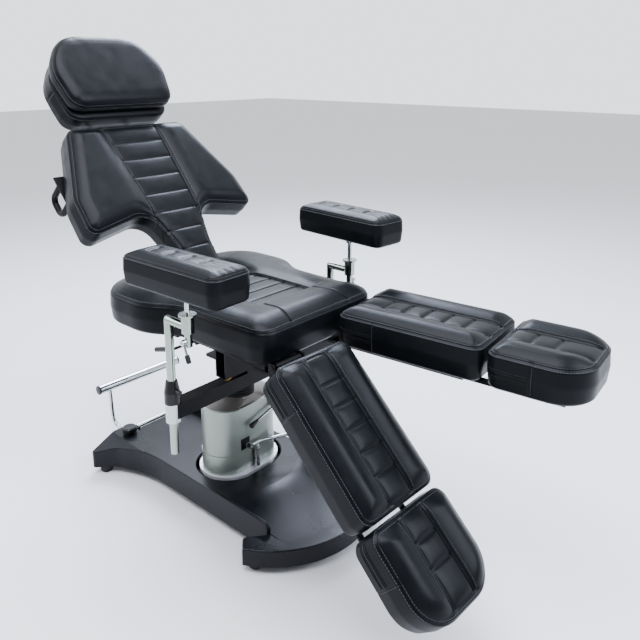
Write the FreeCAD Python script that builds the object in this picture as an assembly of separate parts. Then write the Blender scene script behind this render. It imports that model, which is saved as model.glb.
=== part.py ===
import FreeCAD, Part
import math
import os

# Hydraulic tattoo chair. Millimetres, +X towards the feet, +Y to the client's left, +Z up.
# The origin is on the floor, on the axis of the lifting column.

# Clearances shared by all fits
running_gap = 0.05
loose_gap = 0.3
cut_over = 2.0
least_round = 5.0

# Base: moulded cover over a welded steel frame on rubber pads
floor_gap = 25.0
base_top_z = 110.0
base_wall = 6.0
spine_half = 198.0
spine_front_x = 14.0
blade_tip_x = 341.0
blade_width = 14.0
blade_tip_round = 18.0
cover_edge_round = 4.0
rear_x = -471.0
rear_flare_start_x = -355.0
rear_corner_x = -446.0
rear_corner_y = 318.0
rear_corner_z = 80.0
hood_centre_x = 190.0
hood_radius = 320.0
hood_half_angle = 64.5
hood_rim_z = 79.0
hood_root_x = 337.0
hood_heel_x = 290.0
hood_heel_y = 253.0
hood_heel_round = 14.0
dish_centre_x = 15.0
dish_half = 191.0
dish_inner_half = 182.0
pad_radius = 22.0
pad_sole_radius = 17.0
pad_sole_rise = 6.0
rear_pad_x = -426.0
rear_pad_y = 262.0
front_pad_x = 336.0
front_pad_y = 244.0
beam_width = 44.0
beam_height = 38.0
frame_rail_y = 80.0
pump_plate_thick = 8.0
pump_plate_half_x = 108.0
pump_plate_half_y = 150.0
trough_half = 131.0
trough_front_x = -160.0
trough_floor_z = 75.0
trough_round = 46.0

# Pump: flange, casting, cover, cone, fixed cylinder and bellows
pump_half_x = 79.0
pump_half_y = 136.0
flange_half_x = 103.0
flange_half_y = 145.0
flange_thick = 12.0
opening_gap = 12.0
casting_step = 2.0
casting_top_z = 177.0
cover_top_z = 338.0
cover_rim_step = 2.0
cover_rim_height = 6.0
cone_top_z = 360.0
cone_top_radius = 62.0
cone_foot_inset = 9.0
cylinder_radius = 40.0
cylinder_top_z = 350.0
ram_radius = 28.0
ram_foot_z = 130.0
bellows_radius = 58.0
bellows_valley = 51.0
bellows_bore = 45.0
bellows_ribs = 7
collar_z = 428.0
collar_thick = 10.0
collar_radius = 58.0
spindle_radius = 20.0
screw_radius = 3.2
screw_head = 2.2

# Pump pedal, plunger and swivel brake
guide_radius = 10.0
plunger_radius = 5.0
plunger_foot_z = 122.0
plunger_cap_radius = 8.0
plunger_cap = 5.0
plunger_tip_radius = 2.0
pedal_axis_y = -30.0
pedal_axis_z = 196.0
pedal_stud_radius = 4.5
pedal_boss_radius = 10.0
pedal_boss = 4.0
tread_lap = 9.0
pedal_hub_radius = 9.0
pedal_hub = 16.0
pedal_rod_radius = 5.5
pedal_bend_y = 14.0
pedal_bend = 16.0
pedal_length = 196.0
pedal_heading = 65.0
tread_length = 78.0
tread_width = 46.0
tread_thick = 14.0
brake_y = 88.0
brake_z = 302.0
brake_boss_radius = 11.0
brake_boss_length = 12.0
brake_pin_radius = 4.0
brake_arm_radius = 4.5
brake_reach = 84.0
brake_drop = 25.0
brake_stand_off = 9.0
brake_knob_length = 42.0
brake_knob_radius = 9.5
brake_taper_share = 0.667

# Knob and foot bar at the rear of the base
knob_x = -415.0
knob_y = -165.0
knob_radius = 26.0
knob_height = 26.0
knob_stem_radius = 6.0
knob_waist_share = 0.8
knob_height_shares = (0.33, 0.84)
bar_x = -583.0
bar_z = 230.0
bar_radius = 16.5
bar_bore = 14.0
bar_half = 182.0
bar_leg_y = 135.0
bar_leg_radius = 7.0
bar_leg_bend = 46.0
bar_axle_x = -492.0
bar_axle_z = 72.0
bar_axle_radius = 9.0
bar_axle_half = 142.0
bracket_y = 112.0
bracket_thick = 16.0
bracket_radius = 19.0
bracket_front_x = -428.0
bracket_top_z = 106.0

# Swivelling chassis under the seat
hub_radius = 52.0
arm_x = 117.0
arm_beam_size = 45.0
arm_beam_wall = 3.0
arm_beam_top_z = 490.0
deck_thick = 10.0
deck_half_y = 78.0
deck_rear_x = -62.0
tower_half_y = 168.0
tower_wall = 4.0
rail_height = 30.0
rail_width = 30.0
rail_y = 190.0
rail_rear_x = -290.0
rail_front_x = 350.0
cross_width = 40.0
hinge_bar_front_x = -62.0
hinge_bar_thick = 20.0

# Padding shared by the cushions: sewn edge, drawn-in sides, and the roll and rise of the crown
seam_edge = 7.0
side_draw = 5.0
crown_roll = 16.0
crown_rise = 34.0
groove_width = 7.0
groove_depth = 7.0

# Seat cushion
seat_bottom_z = 640.0
seat_thick = 95.0
seat_crown = 15.0
seat_front_x = 390.0
seat_front_half = 252.0
seat_waist_x = 40.0
seat_waist_half = 258.0
seat_lobe_front_x = -62.0
seat_lobe_half = 322.0
seat_rear_x = -330.0
seat_notch_half = 86.0
seat_notch_x = -55.0
panel_half = 106.0
seat_channel_x = 245.0
seat_channel_pitch = 62.0
seat_channels = 4
seat_corner_round = 60.0
seat_waist_round = 160.0
lobe_front_round = 180.0
lobe_rear_round = 150.0
notch_mouth_round = 22.0
notch_round = 26.0
panel_draw_share = 0.92

# Backrest: s runs up the back from its hinge, n is square to it towards the client
back_hinge_x = -135.0
back_hinge_drop = 15.0
back_hinge_z = seat_bottom_z - back_hinge_drop
back_angle = 46.0
back_gap_n = 20.0
back_thick = 92.0
back_crown = 14.0
back_foot_s = 56.0
stem_foot_half = 62.0
stem_mid_s = 195.0
stem_mid_half = 72.0
stem_neck_s = 322.0
stem_neck_half = 104.0
wing_inner_s = 340.0
wing_inner_half = 150.0
wing_tip_s = 296.0
wing_tip_half = 345.0
wing_side_s = 440.0
wing_side_half = 340.0
back_top_half = 238.0
stem_foot_round = 30.0
stem_mid_round = 300.0
stem_neck_round = 60.0
wing_inner_round = 60.0
wing_tip_round = 34.0
wing_side_round = 110.0
back_top_round = 42.0
neck_panel_share = 0.84
foot_panel_share = 0.93
back_top_s = 726.0
back_channel_s = 639.0
back_channel_pitch = 76.0
back_channels = 7
back_tube_radius = 14.0
back_pin_radius = 10.0
back_tube_half = 56.0
back_lug_thick = 10.0
back_rail_y = 42.0
back_rail_width = 24.0
back_rail_under = 10.0
back_rail_end_s = 694.0
back_cross_thick = 12.0
low_cross_s = 420.0
high_cross_s = 650.0
back_cross_width = 40.0
low_cross_half = 280.0
high_cross_half = 180.0
handle_y = 288.0
handle_s = 538.0
handle_spread = 74.0
handle_reach = 100.0
handle_radius = 11.0
handle_bend = 26.0
handle_foot_width = 44.0

# Headrest: slide rods in guides on the back frame, a tilt tube and two stacked pads
guide_y = 78.0
rod_radius = 8.0
guide_tube_radius = 12.0
guide_start_s = 560.0
guide_end_s = 700.0
rod_start_s = 575.0
head_axis_s = 775.0
head_axis_n = 6.0
head_tube_radius = 10.0
head_tilt = 7.0
knuckle_radius = 16.0
knuckle_half = 22.0
head_plate_thick = 6.0
head_plate_half = 120.0
head_plate_length = 200.0
head_plate_n = 24.0
head_pad_start = -6.0
head_pad_length = 296.0
head_pad_thick = 84.0
head_pad_low_half = 206.0
head_pad_wide_half = 226.0
head_pad_top_half = 160.0
pillow_start = 12.0
pillow_length = 300.0
pillow_thick = 58.0
pillow_low_half = 208.0
pillow_wide_half = 234.0
pillow_top_half = 160.0
pillow_crown = 20.0
pad_crown = 5.0
head_low_round = 44.0
head_wide_round = 150.0
head_top_round = 62.0
head_wide_share = 0.56

# Leg rests: u runs from the hinge towards the foot, v sideways, n up
leg_hinge_x = 380.0
leg_hinge_drop = 14.0
leg_hinge_z = seat_bottom_z - leg_hinge_drop
leg_pivot_x = 330.0
leg_pivot_y = 146.0
leg_left_splay = 5.3
leg_right_splay = 2.5
leg_right_drop = 43.4
leg_pin_radius = 8.0
leg_tube_radius = 13.0
leg_tube_half = 47.0
leg_ear_thick = 8.0
yoke_gap = 3.0
yoke_thick = 10.0
yoke_half = 50.0
yoke_rear_x = 300.0
yoke_front_gap = 16.0
yoke_ear_rise = 12.0
yoke_pin_end = 2.0
pivot_pin_radius = 10.0
pivot_head_radius = 17.0
pivot_head = 7.0
calf_start = 30.0
calf_length = 440.0
calf_half = 142.0
calf_thick = 98.0
calf_crown = 12.0
calf_round = 34.0
leg_panel_half = 42.0
leg_panel_inset = 40.0
calf_channel_first = 96.0
leg_channel_pitch = 64.0
calf_channels = 5
foot_gap_left = 14.0
foot_gap_right = 10.0
foot_length = 256.0
foot_half = 145.0
foot_channel_first = 78.0
foot_channels = 2
foot_toe_round = 96.0
slide_v = 84.0
slide_tube_radius = 13.0
slide_rod_radius = 9.0
slide_overlap = 200.0
leg_strap_width = 34.0
leg_strap_thick = 6.0
leg_pad_rise = 11.0
strap_lap = 2.0

# Armrests
arm_y = 349.0
socket_radius = 21.3
socket_foot_z = 433.0
socket_top_z = 491.0
post_radius = 12.5
post_wall = 1.6
post_foot_z = 331.0
post_top_z = 757.0
arm_collar_top_z = 560.0
arm_collar_foot_radius = 23.0
arm_collar_top_radius = 16.5
arm_knob_z = 532.0
arm_knob_radius = 7.5
arm_knob_length = 13.0
arm_knob_stem = 3.5
arm_knob_stand = 25.0
arm_reach = 87.0
clamp_radius = 17.5
clamp_foot_z = 728.0
clamp_top_z = 777.0
ring_radius = 24.5
ring_thick = 5.0
nose_radius = 11.0
nose_foot_z = 688.0
stem_radius = 7.0
stem_foot_z = 694.0
stem_flange_radius = 13.0
stem_flange = 6.0
left_stem_raise = 20.0
pad_stand = 68.0
pad_bottom_z = clamp_top_z + pad_stand
pad_hub_radius = 17.0
pad_hub = 12.0
pad_plate_thick = 4.0
pad_plate_half_x = 110.0
pad_plate_half_y = 30.0
arm_pad_half_x = 188.0
arm_pad_half_y = 71.0
arm_pad_thick = 84.0
arm_pad_crown = 11.0
arm_pad_round = 30.0
arm_pad_tail_round = 16.0
arm_seam_edge = 6.0
arm_side_draw = 4.0
arm_crown_roll = 12.0
arm_crown_rise = 26.0
right_pad_turn = 2.0
left_pad_turn = -5.0
tuft_pitch = 70.0
tuft_first_x = -130.0
tufts = 4
tuft_half = 13.0
cam_z = 704.0
cam_hub_radius = 8.5
cam_hub_length = 12.0
cam_pin_radius = 4.0
cam_arm_radius = 3.5
cam_reach_x = 17.0
cam_reach_z = 44.0
cam_tip_radius = 5.5
cam_tip_length = 18.0

# Seat release lever
release_x = 66.0
release_drop = 20.0
release_z = seat_bottom_z - release_drop
release_pin_radius = 5.0
release_boss_radius = 10.0
release_boss = 12.0
release_rod_radius = 4.5
release_bend_x = -18.0
release_bend_drop = 40.0
release_bend_z = release_z - release_bend_drop
release_end_x = -104.0
release_end_drop = 66.0
release_end_z = release_z - release_end_drop
release_out = 34.0
release_grip_radius = 8.0

os.makedirs("parts", exist_ok=True)


def vec(x, y, z):
    return FreeCAD.Vector(x, y, z)


Y_AXIS = vec(0, 1, 0)
Z_AXIS = vec(0, 0, 1)


def box(x0, x1, y0, y1, z0, z1):
    """A box between two corners."""
    return Part.makeBox(x1 - x0, y1 - y0, z1 - z0, vec(x0, y0, z0))


def bar(start, end, radius):
    """A round bar between two points."""
    way = end - start
    return Part.makeCylinder(radius, way.Length, start, way)


def tube(start, end, radius, bore):
    """A hollow round bar."""
    way = end - start
    over = way * (cut_over / way.Length)
    return bar(start, end, radius).cut(bar(start - over, end + over, bore))


def join(shapes):
    """One solid from shapes that touch or overlap."""
    whole = shapes[0]
    for shape in shapes[1:]:
        whole = whole.fuse(shape)
    return whole.removeSplitter()


def both(shape):
    """A shape and its mirror image on the other side of the chair."""
    return [shape, shape.mirror(vec(0, 0, 0), Y_AXIS)]


def turned(shape, centre, axis, degrees):
    """A copy turned about an axis."""
    copy = shape.copy()
    copy.rotate(centre, axis, degrees)
    return copy


def moved(shape, x, y, z):
    """A copy moved by a distance."""
    copy = shape.copy()
    copy.translate(vec(x, y, z))
    return copy


def rounded_ring(corners, inset, z):
    """A closed wire of lines and arcs at height z, moved inwards by inset."""
    count = len(corners)
    lines = []
    for i in range(count):
        ax, ay = corners[i][:2]
        bx, by = corners[(i + 1) % count][:2]
        length = math.hypot(bx - ax, by - ay)
        dx, dy = (bx - ax) / length, (by - ay) / length
        lines.append((ax - dy * inset, ay + dx * inset, dx, dy))
    starts, ends, middles = [], [], []
    for i in range(count):
        px, py, pdx, pdy = lines[i - 1]
        qx, qy, qdx, qdy = lines[i]
        turn = pdx * qdy - pdy * qdx
        t = ((qx - px) * qdy - (qy - py) * qdx) / turn
        x, y = px + pdx * t, py + pdy * t
        side = 1 if turn > 0 else -1
        radius = max(corners[i][2] - side * inset, least_round)
        angle = math.atan2(abs(turn), pdx * qdx + pdy * qdy)
        back = radius * math.tan(angle / 2)
        starts.append((x - pdx * back, y - pdy * back))
        ends.append((x + qdx * back, y + qdy * back))
        bx, by = qdx - pdx, qdy - pdy
        length = math.hypot(bx, by)
        reach = radius / math.cos(angle / 2) - radius
        middles.append((x + bx / length * reach, y + by / length * reach))
    edges = []
    for i in range(count):
        a, m, b = vec(*starts[i], z), vec(*middles[i], z), vec(*ends[i], z)
        edges.append(Part.Arc(a, m, b).toShape())
        edges.append(Part.makeLine(b, vec(*starts[(i + 1) % count], z)))
    return Part.Wire(edges)


def prism(corners, z0, z1, inset=0):
    """An upright slab with rounded corners."""
    face = Part.Face(rounded_ring(corners, inset, z0))
    return face.extrude(vec(0, 0, z1 - z0))


def skin(corners, levels):
    """A solid through rings of one outline, each level being (height, inset)."""
    rings = [rounded_ring(corners, inset, z) for z, inset in levels]
    return Part.makeLoft(rings, True, True)


def obround(half_x, half_y, z):
    """A closed wire with round ends, long across the chair."""
    flat = half_y - half_x
    a, b = vec(half_x, -flat, z), vec(half_x, flat, z)
    c, d = vec(-half_x, flat, z), vec(-half_x, -flat, z)
    slant = half_x * math.sqrt(0.5)
    top, bottom = vec(0, half_y, z), vec(0, -half_y, z)
    edges = [
        Part.makeLine(a, b),
        Part.Arc(b, vec(slant, flat + slant, z), top).toShape(),
        Part.Arc(top, vec(-slant, flat + slant, z), c).toShape(),
        Part.makeLine(c, d),
        Part.Arc(d, vec(-slant, -flat - slant, z), bottom).toShape(),
        Part.Arc(bottom, vec(slant, -flat - slant, z), a).toShape(),
    ]
    return Part.Wire(edges)


def obround_slab(half_x, half_y, z0, z1):
    return Part.Face(obround(half_x, half_y, z0)).extrude(vec(0, 0, z1 - z0))


def bent_bar(points, radius, bends):
    """A round bar along straight runs joined by arcs, one bend radius for each inner point."""
    edges = []
    last = points[0]
    for i in range(1, len(points) - 1):
        into = (points[i] - points[i - 1]).normalize()
        out = (points[i + 1] - points[i]).normalize()
        half = into.getAngle(out) / 2
        back = bends[i - 1] * math.tan(half)
        a, b = points[i] - into * back, points[i] + out * back
        middle = points[i] + (out - into).normalize() * (bends[i - 1] / math.cos(half) - bends[i - 1])
        edges.append(Part.makeLine(last, a))
        edges.append(Part.Arc(a, middle, b).toShape())
        last = b
    edges.append(Part.makeLine(last, points[-1]))
    start = (points[1] - points[0]).normalize()
    profile = Part.Wire(Part.makeCircle(radius, points[0], start))
    return Part.Wire(edges).makePipeShell([profile], True, False)


def groove(start, end, top, depth, width):
    """A V-shaped cutter along a seam, from start to end at height top."""
    way = (end - start).normalize()
    side = way.cross(Z_AXIS) * (width / 2)
    over = vec(0, 0, depth)
    left, right = start - side + over, start + side + over
    foot = start - over
    shape = Part.Face(Part.makePolygon([left, foot, right, left]))
    return moved(shape.extrude(end - start), 0, 0, top - start.z)


def cushion(corners, bottom, thick, crown, edge=seam_edge, draw=side_draw, roll=crown_roll,
            rise=crown_rise):
    """A padded form: flat underside, drawn-in sides, a sewn edge and a crowned top."""
    top = bottom + thick
    levels = [
        (bottom, draw + edge),
        (bottom + edge, draw),
        (bottom + thick / 2, 0),
        (top - edge, draw / 2),
        (top, draw + edge / 2),
        (top + crown * crown_shares[0], draw + edge + roll * crown_shares[1]),
        (top + crown, draw + edge + rise),
    ]
    return skin(corners, levels)


crown_shares = (0.7, 0.9)


def place_on_back(shape):
    """From the back's own frame, x along s and z along n, to its place at rest."""
    upright = turned(shape, vec(0, 0, 0), Z_AXIS, 180)
    leaned = turned(upright, vec(0, 0, 0), Y_AXIS, back_angle)
    return moved(leaned, back_hinge_x, 0, back_hinge_z)


def place_on_head(shape):
    """From the headrest's own frame, with its tilt axis as origin, to its place at rest."""
    tilted = turned(shape, vec(0, 0, 0), Y_AXIS, -head_tilt)
    return place_on_back(moved(tilted, head_axis_s, 0, head_axis_n))


def place_leg(shape, side):
    """From a leg rest's own frame, with its hinge as origin, to its place at rest."""
    drop = 0 if side > 0 else leg_right_drop
    splay = leg_left_splay if side > 0 else leg_right_splay
    lowered = turned(shape, vec(0, 0, 0), Y_AXIS, drop)
    ahead = moved(lowered, leg_hinge_x - leg_pivot_x, 0, 0)
    splayed = turned(ahead, vec(0, 0, 0), Z_AXIS, side * splay)
    return moved(splayed, leg_pivot_x, side * leg_pivot_y, leg_hinge_z)


def save(name, shapes):
    """Writes one node, from one solid or a group of them."""
    solids = []
    for shape in shapes if isinstance(shapes, list) else [shapes]:
        solids += shape.Solids
    whole = solids[0] if len(solids) == 1 else Part.makeCompound(solids)
    if not whole.isValid():
        print("not valid:", name)
    whole.exportStep("parts/" + name + ".step")
    print(name, len(solids), round(whole.Volume / 1000, 1))


# Base cover
def spine_corners():
    """Plan of the cover's spine with its two rear feet, counter-clockwise."""
    near = [
        (rear_x, -spine_half - base_wall, base_wall * 4),
        (rear_corner_x, -rear_corner_y, base_wall * 2),
        (rear_corner_x + (rear_flare_start_x - rear_corner_x) * flare_shares[0],
         -spine_half - (rear_corner_y - spine_half) * flare_shares[1], spine_half / 2),
        (rear_flare_start_x + spine_half / 2, -spine_half, spine_half * 2),
        (spine_front_x, -spine_half, blade_width / 2),
    ]
    return near + [(x, -y, r) for x, y, r in reversed(near)]


flare_shares = (0.7, 0.42)


# slope of the front foot from its crest round the pump to its rim: distance out, and share of the drop left
dish_profile = ((195.0, 1.0), (214.0, 0.93), (244.0, 0.73), (284.0, 0.46), (330.0, 0.23), (380.0, 0.08),
                (430.0, 0.008), (480.0, -0.03))


def moon(z):
    """Plan of the front foot: one arc, two tips drawn back to rounded heels, and a straight root."""
    angle = math.radians(hood_half_angle)
    tip_x, tip_y = hood_centre_x + hood_radius * math.cos(angle), hood_radius * math.sin(angle)
    nose = vec(hood_centre_x + hood_radius, 0, z)
    corners = [(tip_x, tip_y), (hood_heel_x, hood_heel_y), (hood_root_x, spine_half),
               (hood_root_x, -spine_half), (hood_heel_x, -hood_heel_y), (tip_x, -tip_y)]
    lines = [Part.makeLine(vec(*p, z), vec(*q, z)) for p, q in zip(corners[:-1], corners[1:])]
    return Part.Wire([Part.Arc(vec(tip_x, -tip_y, z), nose, vec(tip_x, tip_y, z)).toShape()] + lines)


def moon_slab(inset, z0, z1):
    """The front foot's outline as a slab, moved inwards by inset."""
    face = Part.Face(moon(z0))
    if inset:
        face = face.makeOffset2D(-inset, 2)
    slab = face.extrude(vec(0, 0, z1 - z0))
    heels = [e for e in slab.Edges if e.BoundBox.ZLength > z1 - z0 - running_gap
             and hypot_at(e, hood_heel_x, hood_heel_y) < base_wall * 2]
    return slab.makeFillet(hood_heel_round - inset, heels)


def hypot_at(edge, x, y):
    """How far an upright edge stands from (x, y) or its mirror image."""
    spot = edge.Vertexes[0].Point
    return math.hypot(spot.x - x, abs(spot.y) - y)


def dish(half, lower):
    """The dished slope round the pump's front, between the blades."""
    drop = base_top_z - hood_rim_z
    spots = [vec(r, 0, hood_rim_z + share * drop - lower) for r, share in dish_profile]
    slope = Part.BSplineCurve()
    slope.interpolate(spots)
    foot_z = floor_gap - (cut_over if lower else 0)
    centre, top = vec(0, 0, foot_z), vec(0, 0, base_top_z - lower)
    low = vec(spots[-1].x, 0, foot_z)
    wire = Part.Wire([Part.makeLine(centre, top), Part.makeLine(top, spots[0]), slope.toShape(),
                      Part.makeLine(spots[-1], low), Part.makeLine(low, centre)])
    whole = Part.Face(wire).revolve(vec(0, 0, 0), Z_AXIS)
    whole.translate(vec(dish_centre_x, 0, 0))
    rim = Part.makeCylinder(hood_radius - base_wall - lower, base_top_z, vec(hood_centre_x, 0, 0))
    return whole.common(box(0, hood_radius * 2, -half, half, 0, base_top_z)).common(rim)


def top_edges(shape, z):
    """The outer edges of a shape that lie in its top at z or slope down from it."""
    return [e for e in shape.Edges if e.BoundBox.ZMax <= z + running_gap and e.BoundBox.ZMin >= z
            - running_gap]


def flare_cutter(lower):
    """A wedge that slopes the top of one rear foot down to its corner."""
    a = vec(rear_flare_start_x, -spine_half - base_wall * 1.5, base_top_z - lower)
    b = vec(rear_corner_x, -rear_corner_y, rear_corner_z - lower)
    c = vec(rear_x, -spine_half - base_wall, base_top_z - lower)
    normal = (b - a).cross(c - a).normalize()
    if normal.z < 0:
        normal = normal * -1
    size = rear_corner_y
    plane = Part.makePlane(size * 2, size * 2, a - vec(size, size, 0), Z_AXIS)
    plane.rotate(a, Z_AXIS.cross(normal), math.degrees(Z_AXIS.getAngle(normal)))
    slab = plane.extrude(normal * size)
    return slab.common(box(rear_x - size, spine_front_x, -size * 2, -spine_half - base_wall,
                           0, base_top_z + cut_over))


def trough(grow, z0, z1):
    """The recess at the rear, open behind, that the foot bar swings over."""
    half = trough_half + grow
    front = trough_front_x + grow
    behind = rear_x - trough_round * 2
    corners = [
        (behind, -half, trough_round / 2),
        (front, -half, trough_round + grow),
        (front, half, trough_round + grow),
        (behind, half, trough_round / 2),
    ]
    return prism(corners, z0, z1)


def blade(side):
    """One of the two blades that carry the spine's walls forward over the front foot."""
    low = hood_rim_z - base_wall
    corner = vec(blade_tip_x - blade_tip_round, 0, base_top_z)
    bend = blade_tip_round * math.sqrt(0.5)
    swing = vec(blade_tip_x - blade_tip_round + bend, 0, base_top_z - blade_tip_round + bend)
    side_end = vec(blade_tip_x, 0, base_top_z - blade_tip_round)
    wire = Part.Wire([
        Part.makeLine(vec(0, 0, low), vec(0, 0, base_top_z)),
        Part.makeLine(vec(0, 0, base_top_z), corner),
        Part.Arc(corner, swing, side_end).toShape(),
        Part.makeLine(side_end, vec(blade_tip_x, 0, low)),
        Part.makeLine(vec(blade_tip_x, 0, low), vec(0, 0, low)),
    ])
    y = side * spine_half - (blade_width if side > 0 else 0)
    whole = moved(Part.Face(wire), 0, y, 0).extrude(vec(0, blade_width, 0))
    long_edges = [e for e in whole.Edges if e.BoundBox.ZMax > low + base_wall
                  and e.BoundBox.YLength < running_gap
                  and e.BoundBox.XMax > running_gap]
    return whole.makeFillet(cover_edge_round, long_edges)


outer = prism(spine_corners(), floor_gap, base_top_z)
inner = prism(spine_corners(), floor_gap - cut_over, base_top_z - base_wall, base_wall)
for wedge in both(flare_cutter(0)):
    outer = outer.cut(wedge)
for wedge in both(flare_cutter(base_wall)):
    inner = inner.cut(wedge)
half_cover = outer.removeSplitter().common(box(rear_x * 2, hood_root_x, 0, hood_radius * 2, 0,
                                               base_top_z * 2))
half_cover = half_cover.removeSplitter()
crest = [e for e in half_cover.Edges if e.BoundBox.ZMin > rear_corner_z and e.BoundBox.YMin > spine_half
         - running_gap
         and e.BoundBox.ZLength < beam_width and e.Length > least_round * 4]
fold = max(crest, key=lambda e: e.BoundBox.XLength if e.BoundBox.XMin < rear_corner_x else 0)
half_cover = half_cover.makeFillet(cover_edge_round, [e for e in crest if not e.isSame(fold)])
outer = half_cover.fuse(half_cover.mirror(vec(0, 0, 0), Y_AXIS)).removeSplitter()
front = moon_slab(0, floor_gap, hood_rim_z)
rim_edges = [e for e in top_edges(front, hood_rim_z) if e.BoundBox.XMax > hood_root_x + running_gap
             or e.BoundBox.YLength < hood_heel_y]
front = front.makeFillet(cover_edge_round, rim_edges)
neck = box(0, hood_root_x + base_wall * 4, -spine_half, spine_half, floor_gap, hood_rim_z)
neck_room = box(0, hood_root_x + base_wall * 5, -spine_half + base_wall, spine_half - base_wall,
                floor_gap - cut_over, hood_rim_z - base_wall)
outer = outer.fuse([front, neck, dish(dish_half, 0), blade(-1), blade(1)])
inner = inner.fuse([moon_slab(base_wall, floor_gap - cut_over, hood_rim_z - base_wall), neck_room,
                    dish(dish_inner_half, base_wall)])
outer = outer.cut(trough(0, trough_floor_z, base_top_z + cut_over))
inner = inner.cut(trough(base_wall, trough_floor_z - base_wall, base_top_z + cut_over))
pump_hole = obround_slab(flange_half_x + opening_gap, flange_half_y + opening_gap, floor_gap,
                         base_top_z + cut_over)
knob_hole = bar(vec(knob_x, knob_y, floor_gap), vec(knob_x, knob_y, base_top_z + cut_over),
                knob_stem_radius + running_gap)
bracket_slots = both(box(rear_x - beam_width, bracket_front_x + loose_gap, bracket_y - loose_gap,
                         bracket_y + bracket_thick + loose_gap, floor_gap - cut_over, base_top_z))
base_cover = outer.cut(inner).cut(pump_hole).cut(knob_hole)
for slot in bracket_slots:
    base_cover = base_cover.cut(slot)
base_cover = max(base_cover.removeSplitter().Solids, key=lambda solid: solid.Volume)
lip = [e for e in base_cover.Edges if e.BoundBox.ZMin > base_top_z - running_gap
       and -flange_half_x - opening_gap * 2 < e.BoundBox.XMin and e.BoundBox.XMax < flange_half_x
       + opening_gap * 2
       and e.BoundBox.YMax < flange_half_y + opening_gap * 2 and e.BoundBox.YMin > -flange_half_y
       - opening_gap * 2]
base_cover = base_cover.makeFillet(cover_edge_round, lip)
save("base_cover", base_cover)

# Welded base frame
frame_z = floor_gap + beam_height
rear_beam = box(rear_pad_x - beam_width / 2, rear_pad_x + beam_width / 2, -rear_pad_y - pad_radius,
                rear_pad_y + pad_radius, floor_gap, frame_z)
rear_beam = rear_beam.common(prism(spine_corners(), floor_gap, frame_z, base_wall + loose_gap))
front_beam = box(front_pad_x - beam_width / 2, front_pad_x + beam_width, -front_pad_y - pad_radius / 2,
                 front_pad_y + pad_radius / 2, floor_gap, frame_z)
lobe_room = moon_slab(base_wall + loose_gap, floor_gap, frame_z)
front_beam = front_beam.common(lobe_room.fuse(neck_room))
rails = both(box(rear_pad_x, front_pad_x, frame_rail_y - beam_width / 2, frame_rail_y + beam_width / 2,
                 floor_gap, frame_z))
plate = box(-pump_plate_half_x, pump_plate_half_x, -pump_plate_half_y, pump_plate_half_y, frame_z,
            frame_z + pump_plate_thick)
knob_clear = bar(vec(knob_x, knob_y, floor_gap - cut_over), vec(knob_x, knob_y, frame_z + cut_over),
                 knob_stem_radius + running_gap)
centre_beam = box(-beam_width / 2, beam_width / 2, -frame_rail_y, frame_rail_y, floor_gap, frame_z)
save("base_frame", join([rear_beam, front_beam, centre_beam, plate] + rails).cut(knob_clear))

# Rubber pads
pad = join([
    Part.makeCone(pad_sole_radius, pad_radius, pad_sole_rise),
    Part.makeCylinder(pad_radius, floor_gap - pad_sole_rise, vec(0, 0, pad_sole_rise)),
])
save("rubber_pads", [pad] + both(moved(pad, rear_pad_x, -rear_pad_y, 0)) + both(moved(pad, front_pad_x,
                                                                                      -front_pad_y, 0)))

# Pump flange and casting
plate_z = frame_z + pump_plate_thick
flange_z = base_top_z - flange_thick
guide_x = pump_half_x + casting_step + loose_gap + guide_radius
neck = obround_slab(pump_half_x, pump_half_y, plate_z, flange_z)
flange = obround_slab(flange_half_x, flange_half_y, flange_z, base_top_z)
save("pump_flange", join([neck, flange]))
casting = obround_slab(pump_half_x + casting_step, pump_half_y + casting_step, base_top_z, casting_top_z)
well = bar(vec(0, 0, base_top_z - cut_over), vec(0, 0, cover_top_z + cut_over), cylinder_radius)
save("pump_casting", casting.cut(well))

# Pump cover with its raised rim, and the cone above it
shell = obround_slab(pump_half_x, pump_half_y, casting_top_z, cover_top_z - cover_rim_height)
rim = obround_slab(pump_half_x + cover_rim_step, pump_half_y + cover_rim_step,
                   cover_top_z - cover_rim_height, cover_top_z)
face_x = pump_half_x
brake_pin = bar(vec(face_x, brake_y, brake_z),
                vec(face_x + brake_stand_off + brake_boss_length, brake_y, brake_z), brake_pin_radius)
brake_boss = bar(vec(face_x / 2, brake_y, brake_z), vec(face_x + brake_stand_off, brake_y, brake_z),
                 brake_boss_radius)
pedal_hub_x = face_x + pedal_boss
pedal_boss_shape = bar(vec(face_x / 2, pedal_axis_y, pedal_axis_z),
                       vec(pedal_hub_x, pedal_axis_y, pedal_axis_z), pedal_boss_radius)
pedal_stud = bar(vec(face_x, pedal_axis_y, pedal_axis_z),
                 vec(pedal_hub_x + pedal_hub, pedal_axis_y, pedal_axis_z), pedal_stud_radius)
flat_half = pump_half_y - pump_half_x
save("pump_cover", join([shell, rim, brake_boss, brake_pin, pedal_boss_shape, pedal_stud]).cut(well))
cone_foot = obround(pump_half_x - cone_foot_inset, pump_half_y - cone_foot_inset, cover_top_z)


def split_circle(radius, z, half_x, half_y):
    """A circle cut at the same corners as an obround ring, so that the two can be joined."""
    angle = math.atan2(half_y - half_x, half_x)
    marks = [-angle, angle, math.pi / 2, math.pi - angle, math.pi + angle, math.pi * 3 / 2]
    edges = []
    for i, start in enumerate(marks):
        end = marks[(i + 1) % len(marks)]
        if end < start:
            end += math.pi * 2
        points = [vec(radius * math.cos(t), radius * math.sin(t), z) for t in (start, (start + end) / 2,
                                                                               end)]
        edges.append(Part.Arc(*points).toShape())
    return Part.Wire(edges)


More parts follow.
